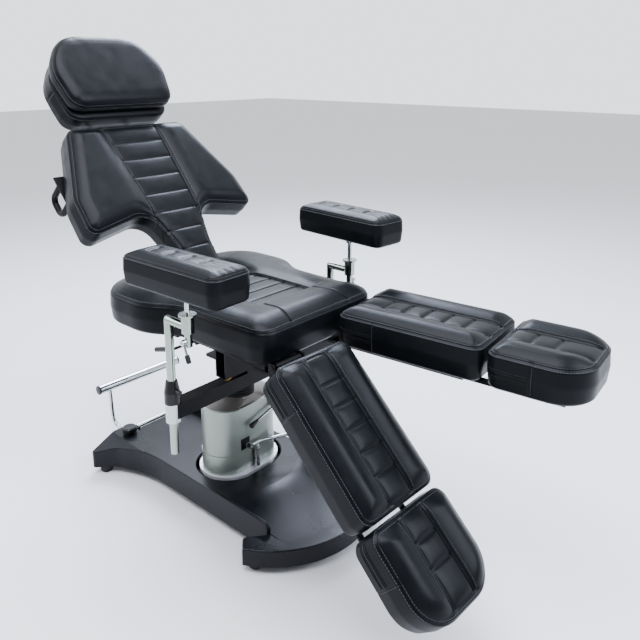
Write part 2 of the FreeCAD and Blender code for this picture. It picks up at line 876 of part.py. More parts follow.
cone_half_x = pump_half_x - cone_foot_inset
cone_half_y = pump_half_y - cone_foot_inset
cone = Part.makeLoft([cone_foot, split_circle(cone_top_radius, cone_top_z, cone_half_x, cone_half_y)],
                     True, True)
cone_well = bar(vec(0, 0, cover_top_z - cut_over), vec(0, 0, cone_top_z + cut_over), cylinder_radius)
save("pump_cone", cone.cut(cone_well))
screw_z = cover_top_z
screws = []
for side_x in (-1, 1):
    for side_y in (-1, 1):
        x = side_x * (pump_half_x - cone_foot_inset / 2)
        y = side_y * flat_half
        screws.append(bar(vec(x, y, screw_z), vec(x, y, screw_z + screw_head), screw_radius))
save("cover_screws", screws)

# Fixed cylinder, ram and bellows
save("pump_cylinder", tube(vec(0, 0, base_top_z), vec(0, 0, cylinder_top_z), cylinder_radius,
                           ram_radius + running_gap))
ram = bar(vec(0, 0, ram_foot_z), vec(0, 0, collar_z), ram_radius)
collar = bar(vec(0, 0, collar_z), vec(0, 0, collar_z + collar_thick), collar_radius)
hub_foot_z = collar_z + collar_thick
spindle = bar(vec(0, 0, hub_foot_z), vec(0, 0, arm_beam_top_z), spindle_radius)
save("column_ram", join([ram, collar, spindle]))
rib = (collar_z - cone_top_z) / bellows_ribs
rings = []
rib_shares = ((0, 0), (0.28, 1), (0.57, 1), (0.85, 0))
for i in range(bellows_ribs):
    for place_share, swell_share in rib_shares:
        radius = bellows_valley + (bellows_radius - bellows_valley) * swell_share
        centre = vec(0, 0, cone_top_z + rib * (i + place_share))
        rings.append(Part.Wire(Part.makeCircle(radius, centre, Z_AXIS)))
rings.append(Part.Wire(Part.makeCircle(bellows_valley, vec(0, 0, collar_z), Z_AXIS)))
bellows = Part.makeLoft(rings, True, True)
save("bellows", bellows.cut(bar(vec(0, 0, cone_top_z - cut_over), vec(0, 0, collar_z + cut_over),
                                bellows_bore)))

# Plunger in its guide, and the pedal that presses it
guide_foot = vec(guide_x, 0, base_top_z)
guide_foot_bore = plunger_radius + running_gap
save("plunger_guide", tube(guide_foot, vec(guide_x, 0, casting_top_z), guide_radius, guide_foot_bore))
plunger_top_z = pedal_axis_z - pedal_rod_radius - loose_gap
save("pump_plunger", join([
    bar(vec(guide_x, 0, plunger_foot_z), vec(guide_x, 0, plunger_top_z - plunger_cap), plunger_radius),
    Part.makeCone(plunger_cap_radius, plunger_tip_radius, plunger_cap,
                  vec(guide_x, 0, plunger_top_z - plunger_cap)),
]))
heading = vec(math.cos(math.radians(pedal_heading)), math.sin(math.radians(pedal_heading)), 0)
hub_middle = vec(guide_x, pedal_axis_y, pedal_axis_z)
pedal_elbow = vec(guide_x, pedal_bend_y, pedal_axis_z)
pedal_end = pedal_elbow + heading * pedal_length
pedal_hub_shape = tube(vec(pedal_hub_x, pedal_axis_y, pedal_axis_z),
                       vec(pedal_hub_x + pedal_hub, pedal_axis_y, pedal_axis_z), pedal_hub_radius,
                       pedal_stud_radius + running_gap)
rod_start = hub_middle + Y_AXIS * (pedal_hub_radius - pedal_stud_radius / 2)
pedal_rod = bent_bar([rod_start, pedal_elbow, pedal_end], pedal_rod_radius, [pedal_bend])
tread = box(-tread_length / 2, tread_length / 2, -tread_width / 2, tread_width / 2,
            -tread_thick / 2, tread_thick / 2)
tread = turned(tread, vec(0, 0, 0), Z_AXIS, pedal_heading - 90)
tread_centre = pedal_end + heading * (tread_width / 2 - tread_lap)
tread = moved(tread, tread_centre.x, tread_centre.y, tread_centre.z)
save("pedal_lever", join([pedal_hub_shape, pedal_rod]))
save("pedal_tread", tread.cut(pedal_rod))

# Swivel brake lever with its knob
brake_face_x = pump_half_x + brake_stand_off
hub_start = vec(brake_face_x, brake_y, brake_z)
hub_end = vec(brake_face_x + brake_boss_length, brake_y, brake_z)
hub = tube(hub_start, hub_end, brake_boss_radius, brake_pin_radius + running_gap)
arm_start = (hub_start + hub_end) * 0.5
arm_way = vec(0, -brake_reach, -brake_drop).normalize()
arm_end = arm_start + vec(0, -brake_reach, -brake_drop)
arm = bar(arm_start + arm_way * (brake_boss_radius - loose_gap), arm_end, brake_arm_radius)
save("brake_lever", join([hub, arm]))
knob = Part.makeCone(brake_arm_radius, brake_knob_radius, brake_knob_length * brake_taper_share, arm_end,
                     arm_way)
tip_centre = arm_end + arm_way * (brake_knob_length * brake_taper_share)
knob_tip = Part.makeSphere(brake_knob_radius, tip_centre)
save("brake_knob", join([knob, knob_tip]))

# Rear knob
knob_foot = base_top_z
knob_mid_z = knob_foot + knob_height * knob_height_shares[0]
knob_edge_z = knob_foot + knob_height * knob_height_shares[1]
turn_knob = join([
    bar(vec(knob_x, knob_y, knob_foot), vec(knob_x, knob_y, knob_mid_z), knob_radius * knob_waist_share),
    bar(vec(knob_x, knob_y, knob_mid_z), vec(knob_x, knob_y, knob_edge_z), knob_radius),
    Part.makeCone(knob_radius, knob_radius * knob_waist_share, knob_foot + knob_height - knob_edge_z,
                  vec(knob_x, knob_y, knob_edge_z)),
    bar(vec(knob_x, knob_y, frame_z), vec(knob_x, knob_y, knob_foot), knob_stem_radius),
])
save("rear_knob", turn_knob)

# Foot bar on its axle behind the base
leg_low_z = bar_axle_z + bar_leg_radius / 2
leg_top = vec(bar_x, -bar_leg_y, bar_z - bar_bore)
leg_corner = vec(bar_x + bar_leg_bend / 4, -bar_leg_y, leg_low_z)
leg_end = vec(bar_axle_x - bar_axle_radius / 2, -bar_leg_y, bar_axle_z)
bar_leg = bent_bar([leg_top, leg_corner, leg_end], bar_leg_radius, [bar_leg_bend])
cross_tube = tube(vec(bar_x, -bar_half, bar_z), vec(bar_x, bar_half, bar_z), bar_radius, bar_bore)
axle = bar(vec(bar_axle_x, -bar_axle_half, bar_axle_z), vec(bar_axle_x, bar_axle_half, bar_axle_z),
           bar_axle_radius)
bar_room = bar(vec(bar_x, -bar_half, bar_z), vec(bar_x, bar_half, bar_z), bar_bore)
save("foot_bar", join([cross_tube, axle] + [leg.cut(bar_room) for leg in both(bar_leg)]))
bracket_plan = Part.makePolygon([
    vec(bar_axle_x, 0, bar_axle_z - bracket_radius),
    vec(bracket_front_x, 0, bar_axle_z - bracket_radius),
    vec(bracket_front_x, 0, bracket_top_z),
    vec(bracket_front_x - beam_width / 2, 0, bracket_top_z),
    vec(bar_axle_x, 0, bar_axle_z + bracket_radius),
    vec(bar_axle_x, 0, bar_axle_z - bracket_radius),
])
bracket = Part.Face(bracket_plan).extrude(vec(0, bracket_thick, 0))
bracket_eye = bar(vec(bar_axle_x, 0, bar_axle_z), vec(bar_axle_x, bracket_thick, bar_axle_z),
                  bracket_radius)
bracket = moved(join([bracket, bracket_eye]), 0, bracket_y, 0)
axle_room = bar(vec(bar_axle_x, 0, bar_axle_z), vec(bar_axle_x, bar_axle_half, bar_axle_z),
                bar_axle_radius + running_gap)
beam_room = box(rear_pad_x - beam_width / 2, rear_pad_x + beam_width / 2, 0, rear_pad_y, 0, frame_z)
save("foot_bar_brackets", both(bracket.cut(axle_room).cut(beam_room)))

# Swivel hub, the beam that carries the armrests, and their sockets
hub_top_z = arm_beam_top_z
hub = tube(vec(0, 0, hub_foot_z), vec(0, 0, hub_top_z), hub_radius, spindle_radius + running_gap)
save("swivel_hub", hub)
beam_x0 = arm_x - arm_beam_size / 2
beam_x1 = arm_x + arm_beam_size / 2
beam_z0 = arm_beam_top_z - arm_beam_size
beam = box(beam_x0, beam_x1, -arm_y, arm_y, beam_z0, arm_beam_top_z)
beam_room = box(beam_x0 + arm_beam_wall, beam_x1 - arm_beam_wall, -arm_y - cut_over, arm_y + cut_over,
                beam_z0 + arm_beam_wall, arm_beam_top_z - arm_beam_wall)
socket_blank = bar(vec(arm_x, arm_y, socket_foot_z), vec(arm_x, arm_y, socket_top_z), socket_radius)
hollow_beam = beam.cut(beam_room)
for blank in both(socket_blank):
    hollow_beam = hollow_beam.cut(blank)
    hollow_beam = max(hollow_beam.Solids, key=lambda solid: solid.Volume)
save("arm_beam", hollow_beam)
post_room = post_radius + running_gap
socket = tube(vec(arm_x, arm_y, socket_foot_z), vec(arm_x, arm_y, socket_top_z), socket_radius, post_room)
save("arm_sockets", both(socket))

# Seat frame: deck, tower, rails, front cross with the leg pivots, and the back's lugs
rail_z = seat_bottom_z - rail_height
deck_z = arm_beam_top_z + deck_thick
deck = box(deck_rear_x, beam_x1, -deck_half_y, deck_half_y, arm_beam_top_z, deck_z)
tower = box(beam_x0, beam_x1, -tower_half_y, tower_half_y, deck_z, rail_z)
tower_room = box(beam_x0 + tower_wall, beam_x1 - tower_wall, -tower_half_y - cut_over,
                 tower_half_y + cut_over, deck_z + tower_wall, rail_z - tower_wall)
middle_cross = box(beam_x0, beam_x1, -rail_y, rail_y, rail_z, seat_bottom_z)
front_cross = box(rail_front_x - cross_width, rail_front_x, -rail_y, rail_y, rail_z, seat_bottom_z)
seat_rails = both(box(rail_rear_x, rail_front_x, rail_y - rail_width / 2, rail_y + rail_width / 2,
                      rail_z, seat_bottom_z))
hinge_bar = box(hinge_bar_front_x - cross_width, hinge_bar_front_x, -rail_y, rail_y,
                rail_z - hinge_bar_thick, rail_z)
lug_y = back_tube_half + loose_gap * 5
lug = join([
    box(back_hinge_x, hinge_bar_front_x, lug_y, lug_y + back_lug_thick, rail_z,
        back_hinge_z + back_tube_radius / 2),
    bar(vec(back_hinge_x, lug_y, back_hinge_z), vec(back_hinge_x, lug_y + back_lug_thick, back_hinge_z),
        back_tube_radius),
])
back_pin_half = lug_y + back_lug_thick + loose_gap * 5
pin_room = bar(vec(back_hinge_x, -back_pin_half, back_hinge_z), vec(back_hinge_x, back_pin_half,
                                                                    back_hinge_z),
               back_pin_radius)
pivot_rooms = [bar(vec(leg_pivot_x, side * leg_pivot_y, rail_z - cut_over),
                   vec(leg_pivot_x, side * leg_pivot_y, seat_bottom_z + cut_over), pivot_pin_radius)
               for side in (-1, 1)]
release_pin = bar(vec(release_x, -rail_y, release_z),
                  vec(release_x, -rail_y - rail_width / 2 - release_boss, release_z), release_pin_radius)
frame = join([deck, tower.cut(tower_room), middle_cross, front_cross, hinge_bar, release_pin]
             + seat_rails + both(lug))
for room in pivot_rooms + [pin_room]:
    frame = frame.cut(room)
save("seat_frame", frame)
save("back_hinge_pin", pin_room)
yoke_z = rail_z - yoke_gap - yoke_thick
pivot_pins = []
for side in (-1, 1):
    head = bar(vec(leg_pivot_x, side * leg_pivot_y, yoke_z - pivot_head),
               vec(leg_pivot_x, side * leg_pivot_y, yoke_z), pivot_head_radius)
    pin = bar(vec(leg_pivot_x, side * leg_pivot_y, yoke_z),
              vec(leg_pivot_x, side * leg_pivot_y, seat_bottom_z), pivot_pin_radius)
    pivot_pins.append(join([head, pin]))
save("leg_pivot_pins", pivot_pins)

# Seat cushion with its rear lobes, notch and sewn channels
seat_half_plan = [
    (seat_front_x, seat_front_half, seat_corner_round),
    (seat_waist_x, seat_waist_half, seat_waist_round),
    (seat_lobe_front_x, seat_lobe_half, lobe_front_round),
    (seat_rear_x, seat_lobe_half, lobe_rear_round),
    (seat_rear_x, seat_notch_half, notch_mouth_round),
    (seat_notch_x, seat_notch_half, notch_round),
]
seat_plan = seat_half_plan + [(x, -y, r) for x, y, r in reversed(seat_half_plan)]
seat = cushion(seat_plan, seat_bottom_z, seat_thick, seat_crown)
seat_top_z = seat_bottom_z + seat_thick + seat_crown
seams = []
first_x = seat_channel_x
channel_start_x = seat_notch_x + seat_channel_pitch / 2
for side in (-1, 1):
    seams.append((vec(channel_start_x, side * panel_half * panel_draw_share, 0),
                  vec(first_x, side * panel_half, 0)))
for i in range(seat_channels):
    x = first_x - seat_channel_pitch * i
    seams.append((vec(x, -panel_half, 0), vec(x, panel_half, 0)))
for start, end in seams:
    seat = seat.cut(groove(start, end, seat_top_z, groove_depth, groove_width))
save("seat_cushion", seat)

# Backrest frame with its hinge tube, cross bars and the headrest's guides, in the back's own frame
hinge_tube = bar(vec(0, -back_tube_half, 0), vec(0, back_tube_half, 0), back_tube_radius)
rail_inner = back_rail_y - back_rail_width / 2
rail_outer = back_rail_y + back_rail_width / 2
back_rails = both(box(back_rail_under, back_rail_end_s, rail_inner, rail_outer, -back_rail_under,
                      back_gap_n))
low_cross = box(low_cross_s - back_cross_width / 2, low_cross_s + back_cross_width / 2, -low_cross_half,
                low_cross_half, back_gap_n - back_cross_thick, back_gap_n)
high_cross = box(high_cross_s - back_cross_width / 2, high_cross_s + back_cross_width / 2,
                 -high_cross_half,
                 high_cross_half, back_gap_n - back_cross_thick, back_gap_n)
guides = both(bar(vec(guide_start_s, guide_y, head_axis_n), vec(guide_end_s, guide_y, head_axis_n),
                  guide_tube_radius))
guide_ties = box(guide_start_s, guide_start_s + back_cross_width / 2, -guide_y, guide_y,
                 back_gap_n - back_cross_thick, back_gap_n)
back_frame = join([hinge_tube, low_cross, high_cross, guide_ties] + back_rails + guides)
rod_rooms = both(bar(vec(guide_start_s - cut_over, guide_y, head_axis_n),
                     vec(guide_end_s + cut_over, guide_y, head_axis_n), rod_radius + running_gap))
hinge_room = bar(vec(0, -back_tube_half - cut_over, 0), vec(0, back_tube_half + cut_over, 0),
                 back_pin_radius + running_gap)
for room in rod_rooms + [hinge_room]:
    back_frame = back_frame.cut(room)
save("back_frame", place_on_back(back_frame))

# Back cushion: stem, wings with pointed lower tips, and a wide top
back_half_plan = [
    (back_foot_s, stem_foot_half, stem_foot_round),
    (stem_mid_s, stem_mid_half, stem_mid_round),
    (stem_neck_s, stem_neck_half, stem_neck_round),
    (wing_inner_s, wing_inner_half, wing_inner_round),
    (wing_tip_s, wing_tip_half, wing_tip_round),
    (wing_side_s, wing_side_half, wing_side_round),
    (back_top_s, back_top_half, back_top_round),
]
mirrored = [(s, -half, r) for s, half, r in back_half_plan]
back_plan = mirrored + list(reversed(back_half_plan))
back_cushion = cushion(back_plan, back_gap_n, back_thick, back_crown)
back_face_n = back_gap_n + back_thick + back_crown
last_s = back_channel_s - back_channel_pitch * (back_channels - 1)
panel_points = [(back_channel_s, panel_half), (stem_neck_s - back_rail_width,
                                               stem_neck_half * neck_panel_share),
                (last_s, stem_mid_half * foot_panel_share)]
seams = []
for side in (-1, 1):
    for (s0, half0), (s1, half1) in zip(panel_points, panel_points[1:]):
        seams.append((vec(s1, side * half1, 0), vec(s0, side * half0, 0)))


def panel_half_at(s):
    """Half width of the back's middle panel at height s."""
    for (s0, half0), (s1, half1) in zip(panel_points, panel_points[1:]):
        if s >= s1:
            return half1 + (half0 - half1) * (s - s1) / (s0 - s1)
    return panel_points[-1][1]


for i in range(back_channels):
    s = back_channel_s - back_channel_pitch * i
    half = panel_half_at(s)
    seams.append((vec(s, -half, 0), vec(s, half, 0)))
for start, end in seams:
    back_cushion = back_cushion.cut(groove(start, end, back_face_n, groove_depth, groove_width))
save("back_cushion", place_on_back(back_cushion))

# Carrying handle at the back's near side
hs0, hs1 = handle_s - handle_spread / 2, handle_s + handle_spread / 2
grip_points = [
    vec(hs0, handle_y, back_gap_n - back_cross_thick / 2), vec(hs0, handle_y, back_gap_n - handle_reach),
    vec(hs1, handle_y, back_gap_n - handle_reach), vec(hs1, handle_y, back_gap_n - back_cross_thick / 2),
]
grip = bent_bar(grip_points, handle_radius, [handle_bend, handle_bend])
foot = box(hs0 - handle_foot_width / 2, hs1 + handle_foot_width / 2, handle_y - handle_foot_width / 2,
           handle_y + handle_foot_width / 2, back_gap_n - back_cross_thick / 2, back_gap_n)
save("back_handle", place_on_back(join([grip, foot])))

# Headrest rods, tilt bracket and pads
rods = both(bar(vec(rod_start_s, guide_y, head_axis_n), vec(head_axis_s, guide_y, head_axis_n),
                rod_radius))
tilt_half = guide_y + rod_radius + least_round
tilt_tube = bar(vec(head_axis_s, -tilt_half, head_axis_n), vec(head_axis_s, tilt_half, head_axis_n),
                head_tube_radius)
save("headrest_rods", place_on_back(join([tilt_tube] + rods)))
knuckle = tube(vec(0, -knuckle_half, 0), vec(0, knuckle_half, 0), knuckle_radius,
               head_tube_radius + running_gap)
web = box(-knuckle_radius / 2, knuckle_radius / 2, -knuckle_half, knuckle_half,
          head_tube_radius + head_plate_thick / 3,
          head_plate_n)
head_plate = box(-knuckle_radius / 2, head_plate_length, -head_plate_half, head_plate_half,
                 head_plate_n - head_plate_thick, head_plate_n)
save("headrest_bracket", place_on_head(join([knuckle, web, head_plate])))


def head_plan(start, length, low, wide, top):
    """Plan of a headrest pad: widest above its middle, narrower and rounder at the top."""
    half_plan = [
        (start, low, head_low_round),
        (start + length * head_wide_share, wide, head_wide_round),
        (start + length, top, head_top_round),
    ]
    near_side = [(s, -half, r) for s, half, r in half_plan]
    return near_side + list(reversed(half_plan))


base_plan = head_plan(head_pad_start, head_pad_length, head_pad_low_half, head_pad_wide_half,
                      head_pad_top_half)
base_pad = cushion(base_plan, head_plate_n, head_pad_thick, pad_crown)
save("headrest_base_pad", place_on_head(base_pad))
pillow_n = head_plate_n + head_pad_thick + pad_crown
pillow_plan = head_plan(pillow_start, pillow_length, pillow_low_half, pillow_wide_half, pillow_top_half)
pillow = cushion(pillow_plan, pillow_n, pillow_thick, pillow_crown)
save("headrest_pillow", place_on_head(pillow))

# Leg rests: yoke on the chassis pivot, hinged frame, calf pad, sliding frame and foot pad
hinge_u = leg_hinge_x - leg_pivot_x
yoke_n0 = yoke_z - leg_hinge_z
yoke_n1 = yoke_n0 + yoke_thick
front_gap_x = rail_front_x - leg_pivot_x + yoke_front_gap


def build_yoke():
    """The yoke in its pivot's own frame, hinge pin included."""
    plate = box(yoke_rear_x - leg_pivot_x, front_gap_x, -yoke_half - leg_ear_thick,
                yoke_half + leg_ear_thick,
                yoke_n0, yoke_n1)
    ear = box(front_gap_x - yoke_thick, hinge_u, yoke_half, yoke_half + leg_ear_thick, yoke_n0, yoke_n1)
    riser = box(front_gap_x, hinge_u + leg_tube_radius, yoke_half, yoke_half + leg_ear_thick, yoke_n0,
                yoke_ear_rise)
    pin = bar(vec(hinge_u, -yoke_half - leg_ear_thick - yoke_pin_end, 0),
              vec(hinge_u, yoke_half + leg_ear_thick + yoke_pin_end, 0), leg_pin_radius)
    room = bar(vec(0, 0, yoke_n0 - cut_over), vec(0, 0, yoke_n1 + cut_over),
               pivot_pin_radius + running_gap)
    return join([plate, pin] + both(ear) + both(riser)).cut(room)


def place_yoke(shape, side):
    splay = leg_left_splay if side > 0 else leg_right_splay
    splayed = turned(shape, vec(0, 0, 0), Z_AXIS, side * splay)
    return moved(splayed, leg_pivot_x, side * leg_pivot_y, leg_hinge_z)


pad_n = leg_pad_rise
slide_n = pad_n - slide_tube_radius


def build_leg_frame():
    hinge = bar(vec(0, -leg_tube_half, 0), vec(0, leg_tube_half, 0), leg_tube_radius)
    arms = both(box(0, calf_start + leg_strap_width, leg_tube_half - leg_ear_thick * 3, leg_tube_half,
                    -leg_strap_thick, leg_strap_thick))
    tubes = both(bar(vec(calf_start, slide_v, slide_n), vec(calf_start + calf_length - leg_channel_pitch,
                                                            slide_v,
                                                            slide_n), slide_tube_radius))
    low_strap = box(calf_start, calf_start + leg_strap_width, -slide_v - slide_tube_radius,
                    slide_v + slide_tube_radius, pad_n - leg_strap_thick, pad_n)
    high_strap = moved(low_strap, calf_length - leg_channel_pitch - leg_strap_width, 0, 0)
    whole = join([hinge, low_strap, high_strap] + arms + tubes)
    for room in both(bar(vec(0, slide_v, slide_n), vec(calf_length, slide_v, slide_n),
                         slide_rod_radius + running_gap)):
        whole = whole.cut(room)
    return whole.cut(bar(vec(0, -leg_tube_half - cut_over, 0), vec(0, leg_tube_half + cut_over, 0),
                         leg_pin_radius + running_gap))


def build_foot_frame(gap):
    start = calf_start + calf_length + gap
    end = start + foot_length - leg_channel_pitch
    rods = both(bar(vec(slide_overlap, slide_v, slide_n), vec(end, slide_v, slide_n), slide_rod_radius))
    strap = box(start + leg_strap_width, start + leg_strap_width * 2, -slide_v - slide_tube_radius,
                slide_v + slide_tube_radius, slide_n + slide_rod_radius - strap_lap, pad_n)
    far_strap = moved(strap, end - start - leg_strap_width * 3, 0, 0)
    return join([strap, far_strap] + rods)


def leg_cushion(start, length, half, heel_round, toe_round, channels):
    """A leg pad with two seams along its middle panel and channels across it."""
    plan = [
        (start, -half, heel_round),
        (start + length, -half, toe_round),
        (start + length, half, toe_round),
        (start, half, heel_round),
    ]
    pad = cushion(plan, pad_n, calf_thick, calf_crown)
    top = pad_n + calf_thick + calf_crown
    ends = (start + leg_panel_inset, start + length - leg_panel_inset)
    cuts = [(vec(ends[0], side * leg_panel_half, 0), vec(ends[1], side * leg_panel_half, 0))
            for side in (-1, 1)]
    for place in channels:
        cuts.append((vec(start + place, -leg_panel_half, 0), vec(start + place, leg_panel_half, 0)))
    for a, b in cuts:
        pad = pad.cut(groove(a, b, top, groove_depth, groove_width))
    return pad


calf_places = [calf_channel_first + leg_channel_pitch * i for i in range(calf_channels)]
foot_places = [foot_channel_first + leg_channel_pitch * i for i in range(foot_channels)]
for side, name in ((1, "left"), (-1, "right")):
    gap = foot_gap_left if side > 0 else foot_gap_right
    save(name + "_leg_yoke", place_yoke(build_yoke(), side))
    save(name + "_leg_frame", place_leg(build_leg_frame(), side))
    calf = leg_cushion(calf_start, calf_length, calf_half, calf_round, calf_round, calf_places)
    save(name + "_calf_cushion", place_leg(calf, side))
    save(name + "_foot_frame", place_leg(build_foot_frame(gap), side))
    foot_start = calf_start + calf_length + gap
    foot_pad = leg_cushion(foot_start, foot_length, foot_half, calf_round, foot_toe_round, foot_places)
    save(name + "_foot_cushion", place_leg(foot_pad, side))

# Armrests, built about their post and set at each side
clamp_x = arm_reach
stub_z = post_top_z - post_radius


def build_arm(side):
    """The nodes of one armrest, with the post's axis as origin."""
    rise = left_stem_raise if side > 0 else 0
    collar_mid = socket_top_z + (arm_collar_top_z - socket_top_z) / 2
    collar = Part.makeCone(arm_collar_foot_radius, arm_collar_top_radius, arm_collar_top_z - collar_mid,
                           vec(0, 0, collar_mid))
    collar = join([collar, bar(vec(0, 0, socket_top_z), vec(0, 0, collar_mid), arm_collar_foot_radius)])
    knob_start = post_radius + loose_gap * 3
    collar_face = arm_knob_stand
    collar = join([collar, bar(vec(post_radius + post_wall, 0, arm_knob_z), vec(collar_face, 0,
                                                                                arm_knob_z),
                               arm_knob_radius)])
    collar = collar.cut(bar(vec(0, 0, socket_foot_z), vec(0, 0, post_top_z), post_radius + running_gap))
    collar = collar.cut(bar(vec(0, 0, arm_knob_z), vec(collar_face + cut_over, 0, arm_knob_z),
                            arm_knob_stem + running_gap))
    knob = join([
        bar(vec(knob_start, 0, arm_knob_z), vec(collar_face, 0, arm_knob_z), arm_knob_stem),
        bar(vec(collar_face, 0, arm_knob_z), vec(collar_face + arm_knob_length, 0, arm_knob_z),
            arm_knob_radius),
    ])
    post = join([
        bar(vec(0, 0, post_foot_z), vec(0, 0, stub_z), post_radius),
        Part.makeSphere(post_radius, vec(0, 0, stub_z)),
        bar(vec(0, 0, stub_z), vec(clamp_x, 0, stub_z), post_radius),
        bar(vec(clamp_x, 0, clamp_foot_z), vec(clamp_x, 0, clamp_top_z), clamp_radius),
        bar(vec(clamp_x, 0, clamp_top_z), vec(clamp_x, 0, clamp_top_z + ring_thick), ring_radius),
        bar(vec(clamp_x, 0, nose_foot_z), vec(clamp_x, 0, clamp_foot_z), nose_radius),
        bar(vec(clamp_x, side * (stem_radius + nose_radius) / 2, cam_z),
            vec(clamp_x, side * (nose_radius + loose_gap + cam_hub_length), cam_z), cam_pin_radius),
    ])
    post = post.cut(bar(vec(clamp_x, 0, nose_foot_z - cut_over),
                        vec(clamp_x, 0, clamp_top_z + ring_thick + cut_over), stem_radius + running_gap))
    post = post.cut(bar(vec(0, 0, post_foot_z - cut_over), vec(0, 0, stub_z - post_radius),
                        post_radius - post_wall))
    cam_y0 = side * (nose_radius + loose_gap)
    cam_y1 = side * (nose_radius + loose_gap + cam_hub_length)
    cam_middle = vec(clamp_x, (cam_y0 + cam_y1) / 2, cam_z)
    cam_hub = tube(vec(clamp_x, cam_y0, cam_z), vec(clamp_x, cam_y1, cam_z), cam_hub_radius,
                   cam_pin_radius + running_gap)
    cam_way = vec(cam_reach_x, 0, -cam_reach_z).normalize()
    cam_end = cam_middle + vec(cam_reach_x, 0, -cam_reach_z)
    cam_rod = bar(cam_middle + cam_way * (cam_hub_radius - cam_arm_radius / 3), cam_end, cam_arm_radius)
    cam_tip = bar(cam_end - cam_way * (cam_tip_length / 2), cam_end + cam_way * (cam_tip_length / 2),
                  cam_tip_radius)
    cam = join([cam_hub, cam_rod, cam_tip])
    hub_z = pad_bottom_z - pad_plate_thick - pad_hub
    flange_top = hub_z - loose_gap
    stem = join([
        bar(vec(clamp_x, 0, stem_foot_z), vec(clamp_x, 0, hub_z + pad_hub - loose_gap), stem_radius),
        bar(vec(clamp_x, 0, flange_top - stem_flange), vec(clamp_x, 0, flange_top), stem_flange_radius),
    ])
    stem = moved(stem, 0, 0, rise)
    turn = left_pad_turn if side > 0 else right_pad_turn
    hub = bar(vec(0, 0, hub_z), vec(0, 0, hub_z + pad_hub), pad_hub_radius)
    plate = box(-pad_plate_half_x, pad_plate_half_x, -pad_plate_half_y, pad_plate_half_y,
                pad_bottom_z - pad_plate_thick, pad_bottom_z)
    plate = join([hub, plate]).cut(bar(vec(0, 0, hub_z - cut_over), vec(0, 0, hub_z + pad_hub),
                                       stem_radius + running_gap))
    plan = [
        (-arm_pad_half_x, -arm_pad_half_y, arm_pad_tail_round),
        (arm_pad_half_x, -arm_pad_half_y, arm_pad_round),
        (arm_pad_half_x, arm_pad_half_y, arm_pad_round),
        (-arm_pad_half_x, arm_pad_half_y, arm_pad_tail_round),
    ]
    pad = cushion(plan, pad_bottom_z, arm_pad_thick, arm_pad_crown, arm_seam_edge, arm_side_draw,
                  arm_crown_roll,
                  arm_crown_rise)
    top = pad_bottom_z + arm_pad_thick + arm_pad_crown
    for i in range(tufts):
        x = tuft_first_x + tuft_pitch * i
        pad = pad.cut(groove(vec(x, -tuft_half, 0), vec(x, tuft_half, 0), top, groove_depth, groove_width))
    placed = [moved(turned(shape, vec(0, 0, 0), Z_AXIS, turn), clamp_x, 0, rise) for shape in (plate, pad)]
    return {
        "arm_collar": collar, "collar_knob": knob, "arm_post": post, "cam_lever": cam,
        "arm_stem": stem, "pad_plate": placed[0], "arm_pad": placed[1],
    }


for side, name in ((1, "left"), (-1, "right")):
    for node, shape in build_arm(side).items():
        save(name + "_" + node, moved(shape, arm_x, side * arm_y, 0))

# Release lever on the near rail
boss_y = -rail_y - rail_width / 2
lever_hub = tube(vec(release_x, boss_y - loose_gap, release_z),
                 vec(release_x, boss_y - release_boss, release_z), release_boss_radius,
                 release_pin_radius + running_gap)
rod_start = vec(release_x - (release_boss_radius + release_pin_radius) / 2, boss_y - release_boss / 2,
                release_z)
rod_bend = vec(release_bend_x, boss_y - release_out, release_bend_z)
rod_stop = vec(release_end_x, boss_y - release_out, release_end_z)
lever_rod = bent_bar([rod_start, rod_bend, rod_stop], release_rod_radius, [release_boss])
grip_way = (rod_stop - rod_bend).normalize()
grip_start = rod_bend + grip_way * release_boss
grip = bar(grip_start, rod_stop + grip_way * release_rod_radius, release_grip_radius)
save("release_lever", join([lever_hub, lever_rod]))
save("release_grip", grip.cut(lever_rod))
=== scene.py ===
import math

import bmesh
import bpy
import numpy as np
from mathutils import Matrix, Vector
from mathutils.bvhtree import BVHTree


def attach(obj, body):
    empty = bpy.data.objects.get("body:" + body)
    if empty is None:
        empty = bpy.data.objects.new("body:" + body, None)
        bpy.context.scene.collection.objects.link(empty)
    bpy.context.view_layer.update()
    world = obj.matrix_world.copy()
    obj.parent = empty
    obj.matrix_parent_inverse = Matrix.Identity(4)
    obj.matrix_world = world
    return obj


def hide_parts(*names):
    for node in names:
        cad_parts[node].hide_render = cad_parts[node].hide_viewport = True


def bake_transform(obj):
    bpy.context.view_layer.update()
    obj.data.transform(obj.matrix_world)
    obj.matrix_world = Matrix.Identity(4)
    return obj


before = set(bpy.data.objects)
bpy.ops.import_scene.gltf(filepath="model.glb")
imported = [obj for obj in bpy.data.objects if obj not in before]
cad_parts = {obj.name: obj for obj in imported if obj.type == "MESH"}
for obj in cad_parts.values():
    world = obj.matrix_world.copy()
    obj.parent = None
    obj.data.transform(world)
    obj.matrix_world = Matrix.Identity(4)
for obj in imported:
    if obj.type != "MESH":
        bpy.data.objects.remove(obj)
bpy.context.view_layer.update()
bpy.ops.object.select_all(action="DESELECT")

MM = 0.001
SIDES = ((1, "left"), (-1, "right"))
# in millimetres: the voxels of the covers, and the steps along outlines and along seams
CELL = 3.6
OUTLINE_STEP = 6
SEAM_STEP = 4.0
# half the width of the panel of squares on a calf or foot cushion, in millimetres
LEG_PANEL = 42
# points of one mesh that are nearer than this are joined, in millimetres
WELD = 0.02
# a stitch in millimetres: its radius, its length and the gap to the next one
STITCH_RADIUS, STITCH_LENGTH, STITCH_GAP = 0.75, 5.0, 2.4
# straight pieces in each rounded corner of an outline
ARC_STEPS = 12
# sockets of a colour mix, whose names stand for other kinds of mix too
MIX_A, MIX_B, MIX_RESULT = 6, 7, 2
# noise lies mostly between these values
NOISE_RANGE = (0.3, 0.7)


